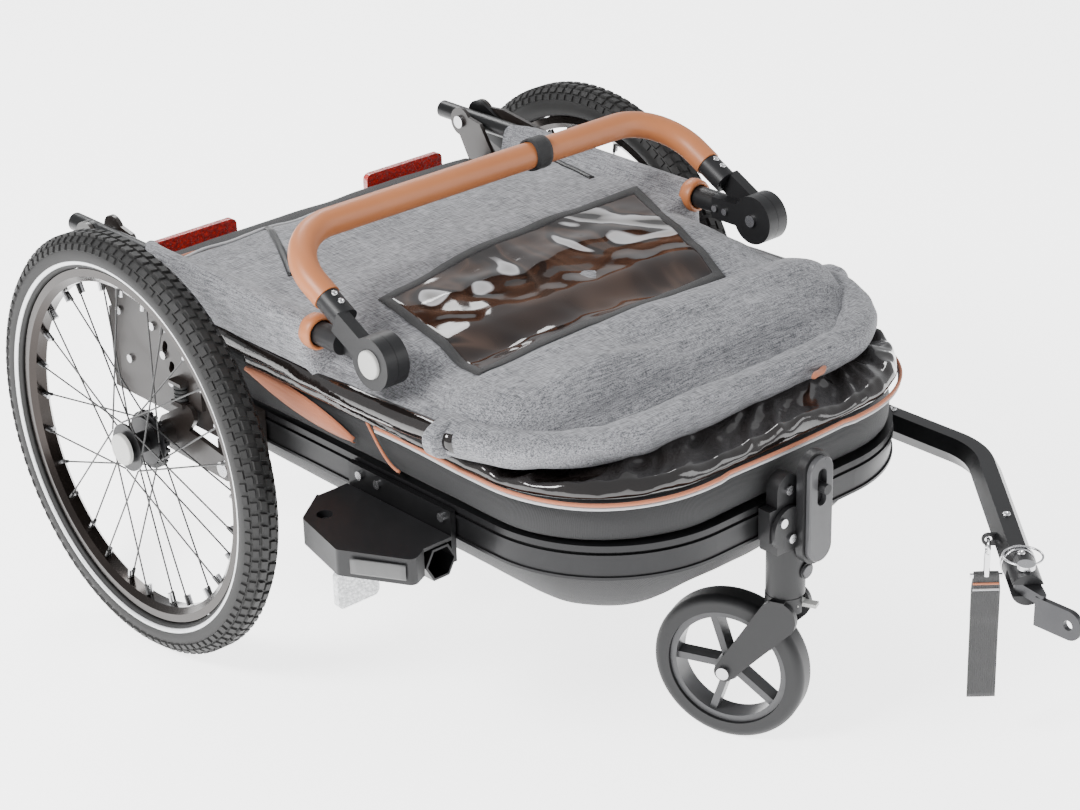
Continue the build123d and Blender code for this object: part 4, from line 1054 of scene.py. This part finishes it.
screw("drawbar_screw_1", on_bar(166, 0, BAR_Z + 15.1), Vector((0, 0, 1)), 4.6, "drawbar", steel)
screw("drawbar_screw_2", on_bar(254, 0, BAR_Z + 17.0), Vector((0, 0, 1)), 4.2, "drawbar", steel)
screw("drawbar_screw_3", at(289, -560, BAR_Z + 15.1), Vector((0, 0, 1)), 4.6, "drawbar", steel)
COLLAR_PROFILE = ((17.1, -1.8), (18.0, -1.2), (18.2, 0.0), (18.0, 1.2), (17.1, 1.8))
for index, run in enumerate((238.5, 246.0)):
    verts = []
    for i in range(48):
        angle = 2 * pi * i / 48
        for radius, step in COLLAR_PROFILE:
            verts.append(on_bar(run + step, radius * cos(angle), BAR_Z + radius * sin(angle)))
    ring = outward(add_piece(f"coupler_ring_{index + 1}", verts, grid_faces(48, 5, True, True), polished))
    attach(ring, "drawbar")

webbing_black = fabric_finish("webbing_black", (0.010, 0.010, 0.010), (0.035, 0.035, 0.036), 1.8, 0.7,
                              thread=0.0016, sheen=0.2, depth=0.9)
STRAP_RUN = 190
STRAP_SIDE = 22
STRAP_TOP = 208
STRAP_LENGTH = 147
STRAP_SECTION = ((-1, -1), (-0.5, -1.15), (0, -1.2), (0.5, -1.15), (1, -1),
                 (1, 1), (0.5, 1.15), (0, 1.2), (-0.5, 1.15), (-1, 1))
verts = []
rows = 31
for i in range(rows):
    z = STRAP_TOP - STRAP_LENGTH * i / (rows - 1)
    sway = 5 * ((STRAP_TOP - z) / STRAP_LENGTH) ** 1.5
    half = 15 if z < 190 else 13 + 2 * (STRAP_TOP - z) / 18
    thick = 2.3 if z > 150 else 1.3
    for across, off in STRAP_SECTION:
        verts.append(on_bar(STRAP_RUN + off * thick + sway, STRAP_SIDE + across * half, z))
faces = tube_faces(rows, len(STRAP_SECTION))
strap = outward(add_piece("strap_webbing", verts, faces, webbing_black))
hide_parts("safety_strap")
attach(strap, "strap")
for index, (z, finish) in enumerate(((196, orange_canvas), (189, grey_cord))):
    line = [on_bar(STRAP_RUN + 3.2, STRAP_SIDE + a, z) for a in range(-14, 15, 2)]
    stitch = tube_along(f"strap_stitch_{index + 1}", line, 1.3, finish, 6)
    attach(stitch, "strap")

# ------------------------------------------------------------------ bumpers and reflectors
# Each bumper has a grey reflecting strip let into its sloping face. The lenses are moulded with
# rows of small prisms.


def lens_finish(name, dark, light):
    """Moulded lens with small prisms."""
    finish = Finish(name, Specular_IOR_Level=0.8, Coat_Weight=1.0, Coat_Roughness=0.03)
    prisms = finish.node("ShaderNodeTexVoronoi", {"distance": "MANHATTAN"}, {
        "Vector": finish.place(), "Scale": 260.0})
    finish.feed(Base_Color=finish.mix(prisms, light, dark), Roughness=prisms * 0.2 + 0.12)
    return finish.bump(prisms, 0.6, 0.0012)


paint(("front_reflectors",), lens_finish("clear_lens", (0.42, 0.43, 0.44), (0.80, 0.81, 0.82)))
paint(("rear_reflectors",), lens_finish("red_lens", (0.30, 0.008, 0.006), (0.75, 0.03, 0.02)))
strip_grey = plastic_finish("strip_grey", (0.07, 0.07, 0.07), (0.11, 0.11, 0.11), 0.34, 900, 0.2)
STRIP_REAR = Vector((371, -400))
STRIP_FRONT = Vector((336, -459))
STRIP_SECTION = ((0.2, 246), (0.9, 248), (0.9, 262), (0.2, 264))
for side, sign in SIDES:
    run = STRIP_FRONT - STRIP_REAR
    turn = Vector((-sign * run.y, run.x)).normalized()
    verts = []
    for i in range(9):
        share = 0.06 + 0.88 * i / 8
        for out, z in STRIP_SECTION:
            verts.append(at(sign * (STRIP_REAR.x + run.x * share) + turn.x * out,
                            STRIP_REAR.y + run.y * share + turn.y * out, z))
    strip = outward(add_piece(f"bumper_strip_{side}", verts, tube_faces(9, len(STRIP_SECTION)), strip_grey))
    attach(strip, "base")
    screw(f"bumper_screw_{side}", at(sign * 334, -318, 261.6), Vector((0, 0, 1)), 5.0,
          "base", black_plastic)

# ------------------------------------------------------------------ caster tyre
# Solid black rubber, moulded on the caster's rim, with a fine matt surface.
caster_rubber = plastic_finish("caster_rubber", (0.008, 0.008, 0.0085), (0.017, 0.017, 0.018), 0.48,
                               texture=900, depth=0.2)
paint(("caster_tyre",), caster_rubber)
